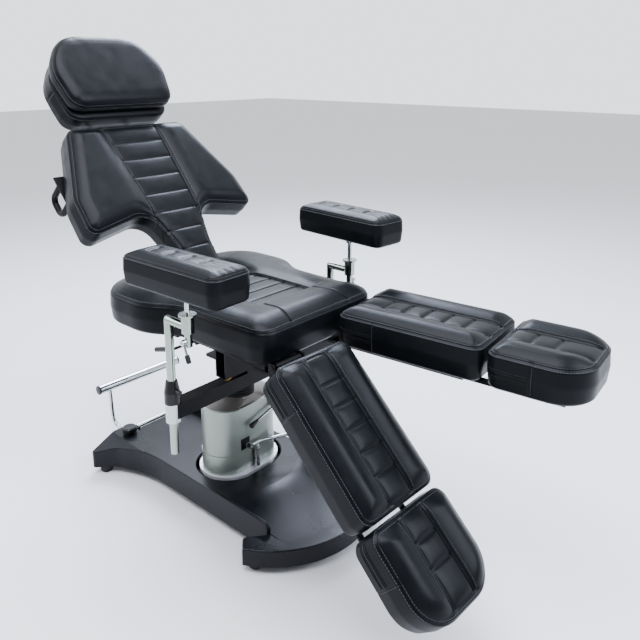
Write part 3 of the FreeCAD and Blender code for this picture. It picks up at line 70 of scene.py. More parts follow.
# Finishes
def srgb(code):
    """A hex colour as linear values."""
    parts = [int(code[i:i + 2], 16) / 255 for i in (0, 2, 4)]
    return [p / 12.92 if p <= 0.04045 else ((p + 0.055) / 1.055) ** 2.4 for p in parts] + [1.0]


def node(tree, kind, links=(), **settings):
    """Adds a node, gives it its settings, and links its inputs."""
    made = tree.nodes.new(kind)
    for name, value in settings.items():
        if hasattr(made, name):
            setattr(made, name, value)
        else:
            made.inputs[name].default_value = value
    for socket, source in links:
        tree.links.new(source, made.inputs[socket])
    return made


def finish_named(name, colour, roughness, metallic=0.0, ior=1.5):
    """A new material, its tree and its shader, with the plain values on the shader's own sockets."""
    material = bpy.data.materials.new(name)
    material.use_nodes = True
    tree = material.node_tree
    shader = tree.nodes["Principled BSDF"]
    shader.inputs["Base Color"].default_value = srgb(colour)
    shader.inputs["Roughness"].default_value = roughness
    shader.inputs["Metallic"].default_value = metallic
    if not metallic:
        shader.inputs["IOR"].default_value = ior
    return material, tree, shader


def in_millimetres(tree):
    """Object coordinates in millimetres."""
    place = node(tree, "ShaderNodeTexCoord").outputs["Object"]
    return node(tree, "ShaderNodeMapping", [("Vector", place)], Scale=(1000, 1000, 1000)).outputs["Vector"]


def noise(tree, where, size_mm, detail=3.0):
    """Noise in lumps of about size_mm."""
    lumps = node(tree, "ShaderNodeTexNoise", [("Vector", where)], Scale=1 / size_mm, Detail=detail)
    return lumps.outputs["Fac"]


def ranged(tree, value, limits):
    """A value mapped from one range to another: limits hold both ends of the first, then of the second."""
    made = node(tree, "ShaderNodeMapRange", [("Value", value)])
    for socket, limit in zip(("From Min", "From Max", "To Min", "To Max"), limits):
        made.inputs[socket].default_value = limit
    return made.outputs["Result"]


def cloudy(tree, shader, where, size_mm, light, dark, low, high):
    """Slow cloudiness in the gloss, size_mm across, and in the colour unless light is None."""
    cloud = noise(tree, where, size_mm)
    if light:
        tint = node(tree, "ShaderNodeMix", [("Factor", cloud)], data_type="RGBA")
        tint.inputs[MIX_A].default_value = srgb(dark)
        tint.inputs[MIX_B].default_value = srgb(light)
        tree.links.new(tint.outputs[MIX_RESULT], shader.inputs["Base Color"])
    tree.links.new(ranged(tree, cloud, (*NOISE_RANGE, low, high)), shader.inputs["Roughness"])


def relief(tree, shader, height, strength, depth_mm):
    """Bump from a height, as deep as depth_mm."""
    bump = node(tree, "ShaderNodeBump", [("Height", height)], Strength=strength, Distance=depth_mm * MM)
    tree.links.new(bump.outputs["Normal"], shader.inputs["Normal"])


def leather(name, light, dark, low, high):
    """Embossed upholstery vinyl: blue-black, broad soft highlights broken up by a fine grain."""
    material, tree, shader = finish_named(name, light, low, ior=1.18)
    where = in_millimetres(tree)
    cloudy(tree, shader, where, 45, light, dark, low, high)
    # real grain is near 0.8 mm, drawn at 1.7 mm so that it shows
    grain_mm, fold_mm = 1.7, 9
    cells = node(tree, "ShaderNodeTexVoronoi", [("Vector", where)], Scale=1 / grain_mm,
                 feature="DISTANCE_TO_EDGE").outputs["Distance"]
    folds = noise(tree, where, fold_mm, 5.0)
    both = node(tree, "ShaderNodeMath", [(0, cells), (1, folds)], operation="ADD")
    relief(tree, shader, both.outputs["Value"], 0.16, 0.5)
    return material


def speckled(name, light, dark, low, high, grain_mm, strength, cloud_mm=60, ior=1.5, metallic=0.0):
    """Moulded plastic, rubber or paint: cloudy colour and gloss over fine pebbles or orange peel.

    The roughness lies between low and high, and strength is that of the bump.
    """
    material, tree, shader = finish_named(name, light, low, metallic, ior)
    where = in_millimetres(tree)
    cloudy(tree, shader, where, cloud_mm, light, dark, low, high)
    relief(tree, shader, noise(tree, where, grain_mm), strength, 0.4)
    return material


def plated(name, colour, low, high, streaks):
    """Plated or turned metal: mirror-like, with handling haze and fine draw lines along Z."""
    material, tree, shader = finish_named(name, colour, low, metallic=1.0)
    where = in_millimetres(tree)
    cloudy(tree, shader, where, 30, None, None, low, high)
    drawn = node(tree, "ShaderNodeMapping", [("Vector", where)], Scale=(1.2, 1.2, 0.02)).outputs["Vector"]
    relief(tree, shader, noise(tree, drawn, 1.0, 2.0), streaks, 0.2)
    return material


# black vinyl: soft satin, bluish where the light grazes it
LEATHER = leather("embossed_black_vinyl", "0a0c0e", "06080a", 0.29, 0.39)
# bonded polyester thread, black: its colour is a painted highlight, a shade lighter than the vinyl, so seams
# read as fine grey lines
THREAD_PAINTED_HIGHLIGHT = speckled("black_thread_painted_highlight", "34373b", "26282b", 0.5, 0.6, 0.8, 0.3, 12)
# vacuum formed ABS: blue-black, fine haircell, glossy on its rolled edges
ABS = speckled("haircell_black_abs", "101217", "0a0b0e", 0.25, 0.35, 1.6, 0.12, 110, 1.28)
# powder coat on welded steel: satin with orange peel
PAINT = speckled("black_powder_coat", "08080a", "050506", 0.36, 0.46, 1.8, 0.16, ior=1.2)
# compression moulded rubber: dull, with a powdery bloom
RUBBER = speckled("moulded_black_rubber", "121212", "0a0a0a", 0.55, 0.75, 0.9, 0.2, 25, 1.42)
# glass-filled nylon knobs: smooth and a little glossy
NYLON = speckled("black_nylon", "0b0b0c", "060608", 0.26, 0.38, 1.1, 0.08, 18, 1.36)
# bright nickel-chrome plate on tube and turned fittings
CHROME = plated("bright_chrome_plate", "b9bebe", 0.05, 0.11, 0.02)
# chrome plate over drawn tube, whitened by wear
TUBE = plated("worn_chrome_tube", "98a398", 0.1, 0.18, 0.1)
# bare turned steel, oiled
STEEL = plated("turned_steel", "b4b5b3", 0.24, 0.36, 0.12)
# yellow brass of one small turned fitting
BRASS = plated("turned_brass", "c0954c", 0.25, 0.35, 0.1)
# aluminium paint on cast iron and rolled steel: soft gradients, faint flake
SILVER = speckled("aluminium_pump_paint", "929a92", "808881", 0.28, 0.4, 1.2, 0.05, 80, metallic=0.7)
# bright zinc on the pump's foot flange
ZINC = speckled("bright_zinc_flange", "e6e6ea", "cfd0d8", 0.3, 0.4, 1.6, 0.02, 60, metallic=0.6)
# warm grey hammer paint on the cone above the pump
CONE = speckled("warm_grey_cone_paint", "787470", "625f5b", 0.3, 0.42, 1.5, 0.1, 50, metallic=0.5)

cad_finishes = [
    (ABS, "base_cover"),
    (PAINT, "base_frame foot_bar_brackets swivel_hub arm_beam seat_frame back_frame headrest_bracket "
            "left_leg_yoke right_leg_yoke left_leg_frame right_leg_frame left_foot_frame right_foot_frame "
            "left_pad_plate right_pad_plate release_lever column_ram back_handle"),
    (RUBBER, "rubber_pads bellows pedal_tread"),
    (SILVER, "pump_casting pump_cover"), (ZINC, "pump_flange"), (CONE, "pump_cone"),
    (STEEL, "cover_screws pump_cylinder pump_plunger plunger_guide leg_pivot_pins back_hinge_pin"),
    (CHROME, "foot_bar pedal_lever brake_lever headrest_rods left_arm_stem right_arm_stem left_cam_lever "
             "right_cam_lever arm_sockets"),
    (TUBE, "left_arm_post right_arm_post"),
    (NYLON, "brake_knob rear_knob release_grip left_arm_collar right_arm_collar left_collar_knob "
            "right_collar_knob"),
]
for finish, names in cad_finishes:
    for name in names.split():
        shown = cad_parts[name].data.materials
        shown.clear()
        shown.append(finish)


# Places of the tilted assemblies, in metres: X along the piece, Y across it, Z square to its face
def turn(degrees, axis):
    return Matrix.Rotation(math.radians(degrees), 4, axis)


def move(x, y, z):
    return Matrix.Translation((x, y, z))


def leg_place(side):
    """A leg rest's hinge, 50 mm ahead of the pin it swings on: the left one level, the right one hanging."""
    drop, splay = (0, 5.3) if side > 0 else (43.4, 2.5)
    return move(0.33, side * 0.146, 0.626) @ turn(side * splay, "Z") @ move(0.05, 0, 0) @ turn(drop, "Y")


def arm_place(side):
    """The underside of an arm pad: the left one stands 20 mm higher, each is turned a little."""
    rise, turned = (20, -5) if side > 0 else (0, 2)
    return move(0.204, side * 0.349, (845 + rise) * MM) @ turn(turned, "Z")


SEAT = move(0, 0, 0.64)
BACK = move(-0.135, 0, 0.625) @ turn(46, "Y") @ turn(180, "Z")
HEAD = BACK @ move(0.775, 0, 0.006) @ turn(-7, "Y")


# Padding
def ease(x):
    """A smooth step from nought to one."""
    x = np.clip(x, 0, 1)
    return x * x * (3 - 2 * x)


def dome(t, power):
    """One in the middle of a strip and nought at its two edges."""
    return 1 - np.abs(np.clip(t, 0, 1) * 2 - 1) ** power


def swelling(t):
    """A stuffed edge: steep at the seam, level further in."""
    return 1 - (1 - np.clip(t, 0, 1)) ** 2


def crease(distance, depth, width):
    """How far a line of stitching pulls the cover in."""
    return -depth * np.exp(-(distance / width) ** 2)


def mirror_plan(half_plan):
    """The whole outline, counter-clockwise, from its half on the -Y side."""
    return half_plan + [(x, -y, r) for x, y, r in reversed(half_plan)]


def rounded(corners, inset=0.0, step=SEAM_STEP):
    """Points round an outline with rounded corners, step apart and moved inwards by inset."""
    points = []
    for i, (x, y, radius) in enumerate(corners):
        here = np.array((x, y), float)
        a = np.array(corners[i - 1][:2], float) - here
        b = np.array(corners[(i + 1) % len(corners)][:2], float) - here
        a, b = a / np.linalg.norm(a), b / np.linalg.norm(b)
        half = math.acos(np.clip(a @ b, -1, 1)) / 2
        centre = here + (a + b) / np.linalg.norm(a + b) * radius / math.sin(half)
        start, end = here + a * radius / math.tan(half), here + b * radius / math.tan(half)
        from_angle = math.atan2(*(start - centre)[::-1])
        sweep = (math.atan2(*(end - centre)[::-1]) - from_angle + math.pi) % (2 * math.pi) - math.pi
        turns = [from_angle + sweep * k / ARC_STEPS for k in range(ARC_STEPS + 1)]
        points += [centre + radius * np.array((math.cos(t), math.sin(t))) for t in turns]
    line = even(np.array(points + points[:1]), step)[:-1]
    ahead = np.roll(line, -1, 0) - np.roll(line, 1, 0)
    ahead /= np.linalg.norm(ahead, axis=1)[:, None]
    return line + np.c_[-ahead[:, 1], ahead[:, 0]] * inset


def even(line, step):
    """The same line with points step apart."""
    line = np.array(line, float)
    lengths = np.r_[0, np.cumsum(np.linalg.norm(np.diff(line, axis=0), axis=1))]
    marks = np.linspace(0, lengths[-1], max(2, int(round(lengths[-1] / step)) + 1))
    return np.stack([np.interp(marks, lengths, line[:, k]) for k in range(line.shape[1])], 1)


def from_edge(xy, outline):
    """Distance to an outline, positive inside it."""
    best, crossed = np.full(len(xy), np.inf), np.zeros(len(xy), int)
    for p, q in zip(outline, np.roll(outline, -1, 0)):
        d = q - p
        t = np.clip((xy - p) @ d / max(d @ d, 1e-9), 0, 1)
        best = np.minimum(best, np.linalg.norm(xy - p - t[:, None] * d, axis=1))
        if p[1] != q[1]:
            over = (p[1] > xy[:, 1]) != (q[1] > xy[:, 1])
            crossed += over & (xy[:, 0] < p[0] + (xy[:, 1] - p[1]) * (q[0] - p[0]) / (q[1] - p[1]))
    return np.where(crossed % 2 == 1, best, -best)


def puffs_between(u, limits, power):
    """Puffs in a row along u, one between each two limits."""
    puffs = np.zeros(len(u))
    for low, high in zip(limits[:-1], limits[1:]):
        puffs = np.where((u >= low) & (u < high), dome((u - low) / (high - low), power), puffs)
    return puffs


def width_at(u, half):
    """Half a panel's width along u, where half is a number or a function."""
    return half(u) if callable(half) else np.full(len(u), float(half))


def welded(mesh, triangles=False):
    """Joins the points that the faces of a mesh share."""
    work = bmesh.new()
    work.from_mesh(mesh)
    bmesh.ops.remove_doubles(work, verts=work.verts, dist=WELD * MM)
    if triangles:
        bmesh.ops.triangulate(work, faces=work.faces)
    work.to_mesh(mesh)
    work.free()


class Pad:
    """A cushion remeshed from its solid, shaped in its own frame in millimetres, then sewn and dressed."""

    def __init__(self, solid, place, plan, bottom, thick, crown, reach=52):
        self.solid, self.place, self.plan = solid, place, plan
        self.bottom, self.top, self.face = bottom, bottom + thick, bottom + thick + crown
        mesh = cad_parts[solid].data.copy()
        self.piece = bpy.data.objects.new(solid.replace("_cushion", "") + "_cover", mesh)
        bpy.context.scene.collection.objects.link(self.piece)
        mesh.transform(place.inverted())
        welded(mesh)
        mesh.remesh_voxel_size = CELL * MM
        mesh.remesh_voxel_adaptivity = 0
        bpy.ops.object.select_all(action="DESELECT")
        bpy.context.view_layer.objects.active = self.piece
        self.piece.select_set(True)
        bpy.ops.object.voxel_remesh()
        soften = self.piece.modifiers.new("soften", "SMOOTH")
        soften.factor, soften.iterations = 0.5, 5
        bpy.ops.object.modifier_apply(modifier="soften")
        self.piece.select_set(False)
        self.read()
        self.outline = rounded(plan, 0, OUTLINE_STEP)
        self.inset = from_edge(self.points[:, :2], self.outline)
        self.crown(reach)

    def read(self):
        """Takes the points, in millimetres, and the normals from the mesh."""
        mesh = self.piece.data
        flat = np.empty(len(mesh.vertices) * 3)
        mesh.vertices.foreach_get("co", flat)
        self.points = flat.reshape(-1, 3) / MM
        mesh.vertices.foreach_get("normal", flat)
        self.normals = flat.reshape(-1, 3).copy()

    def reshape(self, plan):
        """Draws the whole cushion in, so that its outline follows another plan."""
        old, new = self.outline, rounded(plan, 0, OUTLINE_STEP)
        middle = old.mean(0)
        self.points[:, :2] -= middle
        angle = np.arctan2(self.points[:, 1], self.points[:, 0])
        reaches = []
        for line in (old - middle, new - middle):
            angles = np.arctan2(line[:, 1], line[:, 0])
            order = np.argsort(angles)
            lengths = np.hypot(*line.T)[order]
            reaches.append(np.interp(angle, angles[order], lengths, period=2 * math.pi))
        was, will_be = reaches
        self.points[:, :2] = self.points[:, :2] * (will_be / was)[:, None] + middle
        self.plan, self.outline = plan, new
        self.inset = from_edge(self.points[:, :2], new)

    def facing_up(self, reach=30):
        """One on the crowned top, nought on the sides and underneath."""
        near_top = ease((self.points[:, 2] - self.top + reach) / reach)
        return near_top * ease((self.normals[:, 2] - 0.1) / 0.6)

    def crown(self, reach):
        """Draws the top into one smooth dome that rises from the sewn edge and levels out after reach."""
        band, passes = 24, int(160 / CELL)
        room = np.maximum(self.inset, 0)
        target = self.top - 1 + (self.face - self.top + 1) * swelling((room + 2) / reach)
        self.points[:, 2] += (target - self.points[:, 2]) * self.facing_up(band) * ease((room - 3) / 12)
        mesh = self.piece.data
        pairs = np.empty(len(mesh.edges) * 2, int)
        mesh.edges.foreach_get("vertices", pairs)
        a, b = pairs.reshape(-1, 2).T
        count = np.bincount(pairs, minlength=len(self.points))
        weight = 0.6 * self.facing_up(band) * ease((room - 8) / 10)
        for _ in range(passes):
            z = self.points[:, 2]
            near = np.bincount(a, z[b], len(z)) + np.bincount(b, z[a], len(z))
            self.points[:, 2] = z + (near / count - z) * weight
        mesh.vertices.foreach_set("co", (self.points * MM).ravel())
        mesh.update()
        self.read()

    def raise_top(self, height, reach=30):
        """Lifts the top by height, and lets that fade out over reach below it."""
        self.points[:, 2] += height * self.facing_up(reach)

    def push(self, amount):
        """Moves points along their normals."""
        self.points += self.normals * amount[:, None]

    def edge_seam(self, depth=1.6, width=4.0, drop=2.0):
        """The sewn edge between the top and the side band."""
        band = np.abs(self.inset) < 16
        self.push(crease(self.points[:, 2] - self.top + drop, depth, width) * band)

    def side_seam(self, test, line, depth=1.8, width=3.0):
        """A seam down the side band, where line is nought."""
        self.push(crease(line, depth, width) * test * (np.abs(self.normals[:, 2]) < 0.7))

    def settle(self):
        """Puts the points back into the mesh, ready for sewing."""
        mesh = self.piece.data
        mesh.vertices.foreach_set("co", (self.points * MM).ravel())
        mesh.update()
        faces = [face.vertices[:] for face in mesh.polygons]
        self.tree = BVHTree.FromPolygons([point.co[:] for point in mesh.vertices], faces)
        self.sewn = []

    def on_top(self, line, lift=0.0):
        """Points of a line laid on the top, with the way up at each."""
        hits = []
        for x, y in line:
            spot, up, _, _ = self.tree.ray_cast(Vector((x, y, self.face + 60)) * MM, Vector((0, 0, -1)))
            if spot:
                hits.append((spot / MM + up * lift, up))
        return hits

    def on_side(self, line, height, lift=0.0):
        """Points of a line round the side, at one height, with the way out at each."""
        stand_off, farthest = 30, 34
        middle = self.outline.mean(0)
        hits = []
        for (x, y), (dx, dy) in zip(line, np.gradient(line, axis=0)):
            out = Vector((dy, -dx, 0))
            if out.length < 1e-6:
                out = Vector((x - middle[0], y - middle[1], 0))
            out.normalize()
            start = Vector((x, y, height))
            spot, up, _, _ = self.tree.ray_cast((start + out * stand_off) * MM, -out)
            if spot and (spot / MM - start).length < farthest:
                hits.append((spot / MM + up * lift, up))
        return hits

    def on_flank(self, line, side):
        """Points of a line of X and Z laid on the flank that faces side, with the way out at each."""
        clear = 190
        hits = []
        for x, z in line:
            spot, up, _, _ = self.tree.ray_cast(Vector((x, side * clear, z)) * MM, Vector((0, -side, 0)))
            if spot:
                hits.append((spot / MM, up))
        return hits

    def welt(self, hits, radius, closed=False):
        """A round piping along hits."""
        self.sewn.append((tube_mesh(hits, radius, closed, 6), 0))

    def stitches(self, hits, closed=False):
        """A row of stitches along hits, each a short bar sunk at its ends."""
        if len(hits) < 3:
            return
        if closed:
            hits = hits + hits[:1]
        line, ups = (np.array([hit[k] for hit in hits]) for k in range(2))
        lengths = np.r_[0, np.cumsum(np.linalg.norm(np.diff(line, axis=0), axis=1))]
        for mark in np.arange(STITCH_GAP, lengths[-1] - STITCH_LENGTH, STITCH_LENGTH + STITCH_GAP):
            bars = []
            for share, sink in ((0, -0.7), (0.15, 0.35), (0.85, 0.35), (1, -0.7)):
                at = mark + share * STITCH_LENGTH
                spot, up = (np.array([np.interp(at, lengths, each[:, k]) for k in range(3)])
                            for each in (line, ups))
                bars.append((Vector(spot + up * sink), Vector(up)))
            self.sewn.append((tube_mesh(bars, STITCH_RADIUS, False, 4), 1))

    def dress(self, body, fill):
        mesh = self.piece.data
        mesh.materials.clear()
        mesh.materials.append(LEATHER)
        # the thread's grey is a painted highlight on black thread
        mesh.materials.append(THREAD_PAINTED_HIGHLIGHT)
        work = bmesh.new()
        work.from_mesh(mesh)
        for (verts, faces), finish in self.sewn:
            made = [work.verts.new(Vector(v) * MM) for v in verts]
            for face in faces:
                work.faces.new([made[i] for i in face]).material_index = finish
        for face in work.faces:
            face.smooth = True
        work.to_mesh(mesh)
        work.free()
        mesh.transform(self.place)
        mesh.update()
        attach(self.piece, body)
        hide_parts(self.solid)


def tube_mesh(hits, radius, closed, sides):
    """Points and faces of a round tube along hits, closed at its ends."""
    count = len(hits)
    spots = [Vector(h[0]) for h in hits]
    verts, faces = [], []
    for i, (spot, up) in enumerate(hits):
        before = spots[i - 1] if i or closed else spots[0]
        after = spots[(i + 1) % count] if i < count - 1 or closed else spots[-1]
        ahead = (after - before).normalized()
        side = ahead.cross(Vector(up)).normalized()
        over = side.cross(ahead)
        for k in range(sides):
            angle = 2 * math.pi * k / sides
            verts.append(Vector(spot) + (side * math.cos(angle) + over * math.sin(angle)) * radius)
    for i in range(count if closed else count - 1):
        a, b = i * sides, (i + 1) % count * sides
        for k in range(sides):
            n = (k + 1) % sides
            faces.append((a + k, b + k, b + n, a + n))
    if not closed:
        faces.append(tuple(range(sides)))
        faces.append(tuple(range((count - 1) * sides, count * sides))[::-1])
    return verts, faces


def panelled(pad, half, marks, ends, recess, rise, reach, puff, fade, power=2.6):
    """A sunk middle panel of puffed squares between marks, with stuffed bolsters beside it."""
    u, v = pad.points[:, 0], pad.points[:, 1]
    width = width_at(u, half)
    out = np.abs(v) - width
    along = ease((u - ends[0]) / fade) * ease((ends[1] - u) / fade)
    puffs = puffs_between(u, [ends[0], *sorted(marks), ends[1]], power)
    inside = -recess + puff * puffs * dome((v / width + 1) / 2, 3.0)
    room = np.maximum(pad.inset, 0)
    outside = -recess + (recess + rise) * swelling(out / reach) * (0.3 + 0.7 * ease(room / 50))
    height = np.where(out < 0, inside, outside) * along
    height += crease(out, 2.6, 3.4) * along
    for mark in marks:
        height += crease(u - mark, 3.4, 3.4) * ease((4 - out) / 4)
    pad.raise_top(height)


def sew_panel(pad, half, ends):
    """Double piping and a row of stitches down each of the panel's two seams."""
    u = np.arange(ends[0], ends[1], SEAM_STEP)
    width = width_at(u, half)
    for side in (-1, 1):
        pad.welt(pad.on_top(np.c_[u, side * (width + 0.5)], 0.3), 1.5)
        pad.welt(pad.on_top(np.c_[u, side * (width + 6.5)], 0.2), 1.2)
        pad.stitches(pad.on_top(np.c_[u, side * (width + 10.5)], 0.1))


def sew_edge(pad, rows, low_rows, radius):
    """Piping round the top edge, with rows of stitches on the top and on the side band."""
    inset = 1.5
    ring = rounded(pad.plan, inset)
    pad.welt(pad.on_side(ring, pad.top - 2, 0.2), radius, True)
    for row in rows:
        pad.stitches(pad.on_top(rounded(pad.plan, inset + row + 4), 0.1), True)
    for row in low_rows:
        pad.stitches(pad.on_side(ring, pad.top - 2 - row, 0.1), True)


def make_seat():
    """A flat panel of squares with flaring seams ahead of it, between two bolsters and a front roll."""
    half_plan = [(390, -252, 60), (40, -258, 160), (-62, -322, 180), (-330, -322, 150), (-330, -86, 22),
                 (-55, -86, 26)]
    plan = [(x, -y, r) for x, y, r in half_plan] + [(x, y, r) for x, y, r in reversed(half_plan)]
    pad = Pad("seat_cushion", SEAT, plan, 0, 95, 15, 80)
    u, v = pad.points[:, 0], pad.points[:, 1]
    front, rear, pitch, broad = 245, -62, 62, 106
    marks = [front - pitch * i for i in range(5)]

    def half(x):
        """Half the panel's width, a little narrower to the rear."""
        return broad - 9 * ease((40 - x) / 90)

    def flared(x):
        """Half the distance between the seams ahead of the panel."""
        return broad + 0.0011 * (x - front) ** 2 * (x > front)

    room = np.maximum(pad.inset, 0)
    out = np.abs(v) - half(u)
    before_front = ease((252 - u) / 14)
    in_panel = ease((3 - out) / 6) * before_front * ease((u + 66) / 20)
    puffs = puffs_between(u, [rear, *sorted(marks)], 3.4)
    height = in_panel * (-9 + 2.5 * puffs * dome((v / broad + 1) / 2, 5))
    valley = 8 * np.exp(-(np.maximum(out, 0) / 34) ** 2) * before_front
    height += (1 - in_panel) * (7 * ease(room / 70) - valley)
    height += (1 - in_panel) * 5 * np.exp(-((u - 322) / 46) ** 2) * ease(room / 30)
    for mark in marks:
        height += crease(u - mark, 4.2, 3.6) * ease((4 - out) / 4)
    height += crease(np.abs(np.abs(v) - flared(u)), 2.8, 3.4) * ease((u - 240) / 8)
    height += crease(out, 2.0, 3.4) * ease((250 - u) / 8) * ease((u + 62) / 10)
    pad.raise_top(height)
    pad.edge_seam()
    pad.settle()
    sew_edge(pad, (), (), 1.4)
    for side in (-1, 1):
        x = np.arange(-54, front + 1, SEAM_STEP)
        pad.welt(pad.on_top(np.c_[x, side * half(x)], 0.2), 1.2)
        x = np.arange(front + 1, 378, SEAM_STEP)
        for shift in (-3, 3):
            pad.welt(pad.on_top(np.c_[x, side * (flared(x) + shift)], 0.5), 1.6)
    pad.stitches(pad.on_top(rounded(plan, 12), 0.1), True)
    pad.dress("chassis", 0.7)


def make_back():
    """Two wings beside a panel of squares that narrows towards the seat."""
    half_plan = [(56, -62, 30), (195, -72, 300), (322, -104, 60), (340, -150, 60), (296, -345, 34),
                 (440, -340, 110), (726, -238, 42)]
    pad = Pad("back_cushion", BACK, mirror_plan(half_plan), 20, 92, 14)
    marks = [639 - 76 * i for i in range(7)]
    spots = np.array([(183, 67), (298, 87.4), (639, 106)])

    def half(s):
        """Half the panel's width, by a few measured spots."""
        return np.interp(s, spots[:, 0], spots[:, 1])

    panelled(pad, half, marks, (60, 724), 9, 8, 62, 3.5, 14)
    pad.edge_seam(2.0, 4.5)
    pad.settle()
    sew_panel(pad, half, (84, 722))
    sew_edge(pad, (6.5,), (7.0,), 2.0)
    pad.dress("back", 0.8)


def head_plan(start, length, low, wide, top, low_round=44, top_round=62):
    """The outline of a head cushion: half its width at its low end, just above its middle and at its top."""
    return mirror_plan([(start, -low, low_round), (start + length * 0.56, -wide, 150),
                        (start + length, -top, top_round)])


def make_head():
    """The base pad of the headrest, and the pillow on it."""
    base = Pad("headrest_base_pad", HEAD, head_plan(-6, 296, 206, 226, 160), 24, 84, 5)
    base.reshape(head_plan(-6, 296, 204, 226, 156, 56, 116))
    base.edge_seam(2.2, 4.5)
    for flank in (base.points[:, 1] > 0, base.points[:, 1] < 0):
        base.side_seam(flank, base.points[:, 0] - 120)
    base.settle()
    sew_edge(base, (6.0,), (7.0,), 2.0)
    ring = rounded(base.plan, 1.5)
    for height in (22, 30):
        base.stitches(base.on_side(ring, base.bottom + height, 0.1), True)
    base.dress("head", 0.85)
    pillow = Pad("headrest_pillow", HEAD, head_plan(12, 300, 208, 234, 160), 113, 58, 16, 50)
    pillow.reshape(head_plan(12, 300, 204, 232, 154, 56, 124))
    seam_drop = 16
    pillow.edge_seam(1.8, 4.5, seam_drop)
    pillow.settle()
    ring = rounded(pillow.plan, 1.0)
    pillow.welt(pillow.on_side(ring, pillow.top - seam_drop, 0.2), 1.6, True)
    for drop in (seam_drop - 7, seam_drop + 7):
        pillow.stitches(pillow.on_side(ring, pillow.top - drop, 0.1), True)
    pillow.dress("head", 0.85)


def make_leg(side, name):
    """The calf and the foot cushion of one leg rest."""
    calf_start, calf_length, gap = 30, 440, 14 if side > 0 else 10
    foot_start = calf_start + calf_length + gap
    cushions = (
        # name, body, start, length, half its width, rounding of its far corners, first mark, marks, margin
        ("calf", "leg", calf_start, calf_length, 142, 34, 96, 5, 2),
        ("foot", "foot", foot_start, 256, 145, 96, 78, 2, 6),
    )
    for part, body, start, length, half_width, far_round, first, count, margin in cushions:
        plan = mirror_plan([(start, -half_width, 34), (start + length, -half_width, far_round)])
        pad = Pad(name + "_" + part + "_cushion", leg_place(side), plan, 11, 98, 12)
        marks = [start + first + 64 * i for i in range(count)]
        ends = (start + 2, start + length - margin)
        panelled(pad, LEG_PANEL, marks, ends, 8, 8, 56, 4.5, 16, 3.0)
        finish_leg(pad, start, length, name + "_" + body)


def finish_leg(pad, start, length, body):
    """Stuffs the ends, sews the edge and the panel, and draws the seam and the zip lines of each side."""
    seam_at = start + 118
    facing = pad.normals[:, 0]
    pad.points[:, 0] += 1.2 * np.sign(facing) * ease((np.abs(facing) - 0.5) / 0.4)
    pad.edge_seam(1.8, 4.0)
    pad.side_seam(np.abs(pad.points[:, 1]) > 100, pad.points[:, 0] - seam_at, 2.0, 3.0)
    pad.settle()
    sew_panel(pad, LEG_PANEL, (start + 14, start + length - 14))
    sew_edge(pad, (5.0,), (6.5,), 1.7)
    heights = np.arange(pad.bottom + 10, pad.top - 6, SEAM_STEP)
    zip_line = np.arange(start + 10, seam_at - 2, SEAM_STEP)
    for side in (-1, 1):
        pad.stitches(pad.on_flank([(seam_at + 3.5, z) for z in heights], side))
        for rise in (32, 38, 50, 56):
            pad.welt(pad.on_flank([(x, pad.bottom + rise) for x in zip_line], side), 1.4)
    pad.dress(body, 0.8)


def make_arm(side, name):
    """An arm pad with four tufts in a sunk strip, and folds that fan out at its front end."""
    plan = mirror_plan([(-188, -71, 16), (188, -71, 30)])
    pad = Pad(name + "_arm_pad", arm_place(side), plan, 0, 84, 11)
    u, v = pad.points[:, 0], pad.points[:, 1]
    tufts = [-130 + 70 * i for i in range(4)]
    height = 4 * ease(np.maximum(pad.inset, 0) / 40)
    strip = ease((27 - np.abs(v)) / 14) * ease((u + 165) / 20) * ease((112 - u) / 30)
    height -= 2.6 * strip
    height += 2.6 * puffs_between(u, [-165, *tufts, 118], 2.0) * strip
    for tuft in tufts:
        height += crease(u - tuft, 3.2, 5.5) * ease((30 - np.abs(v)) / 16)
    height += crease(np.abs(v) - 22, 1.3, 7.0) * ease((u + 160) / 20) * ease((130 - u) / 40)
    spreading = 0.55 + 0.5 * ((u - 96) / 80)
    for spread, depth in ((-34, 1.6), (-12, 2.4), (12, 2.4), (34, 1.6)):
        fold = crease(v - spread * spreading, depth, 5.5)
        height += fold * ease((u - 84) / 50) * ease((186 - u) / 30)
    pad.raise_top(height, 24)
    pad.edge_seam(1.5, 3.6)
    pad.settle()
    sew_edge(pad, (), (5.5,), 1.4)
    pad.dress(name + "_pad", 0.75)


make_seat()
make_back()
make_head()
for side, name in SIDES:
    make_leg(side, name)
    make_arm(side, name)


# Small hard pieces
def set_down(piece, finish, body, name):
    """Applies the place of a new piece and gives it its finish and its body."""
    piece.name = name
    bpy.ops.object.transform_apply(location=True, rotation=True, scale=True)
    piece.data.materials.append(finish)
    bpy.ops.object.shade_smooth_by_angle(angle=math.radians(35))
    piece.select_set(False)
    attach(piece, body)


def rounded_off(piece, width):
    """Rounds every sharp edge of a new piece."""
    edge = piece.modifiers.new("round", "BEVEL")
    edge.width, edge.segments, edge.limit_method = width * MM, 3, "ANGLE"
    bpy.ops.object.modifier_apply(modifier="round")


def turned_bar(start, end, radius, width):
    """A round bar between two points in millimetres, with rounded ends."""
    start, end = Vector(start), Vector(end)
    along = end - start
    bpy.ops.mesh.primitive_cylinder_add(vertices=32, radius=radius * MM, depth=along.length * MM,
                                        location=(start + end) / 2 * MM,
                                        rotation=along.to_track_quat("Z", "Y").to_euler())
    piece = bpy.context.object
    rounded_off(piece, width)
    return piece


def slab(low, high, width):
    """A block between two corners in millimetres, with rounded edges."""
    low, high = Vector(low), Vector(high)
    bpy.ops.mesh.primitive_cube_add(size=1, location=(low + high) / 2 * MM, scale=(high - low) * MM)
    piece = bpy.context.object
    bpy.ops.object.transform_apply(location=False, rotation=False, scale=True)
    rounded_off(piece, width)
    return piece


# bare black plate on the flat side of the pump cover
set_down(slab((78.2, -60, 186), (80.2, -22, 226), 0.8), PAINT, "base", "pump_plate_bare")
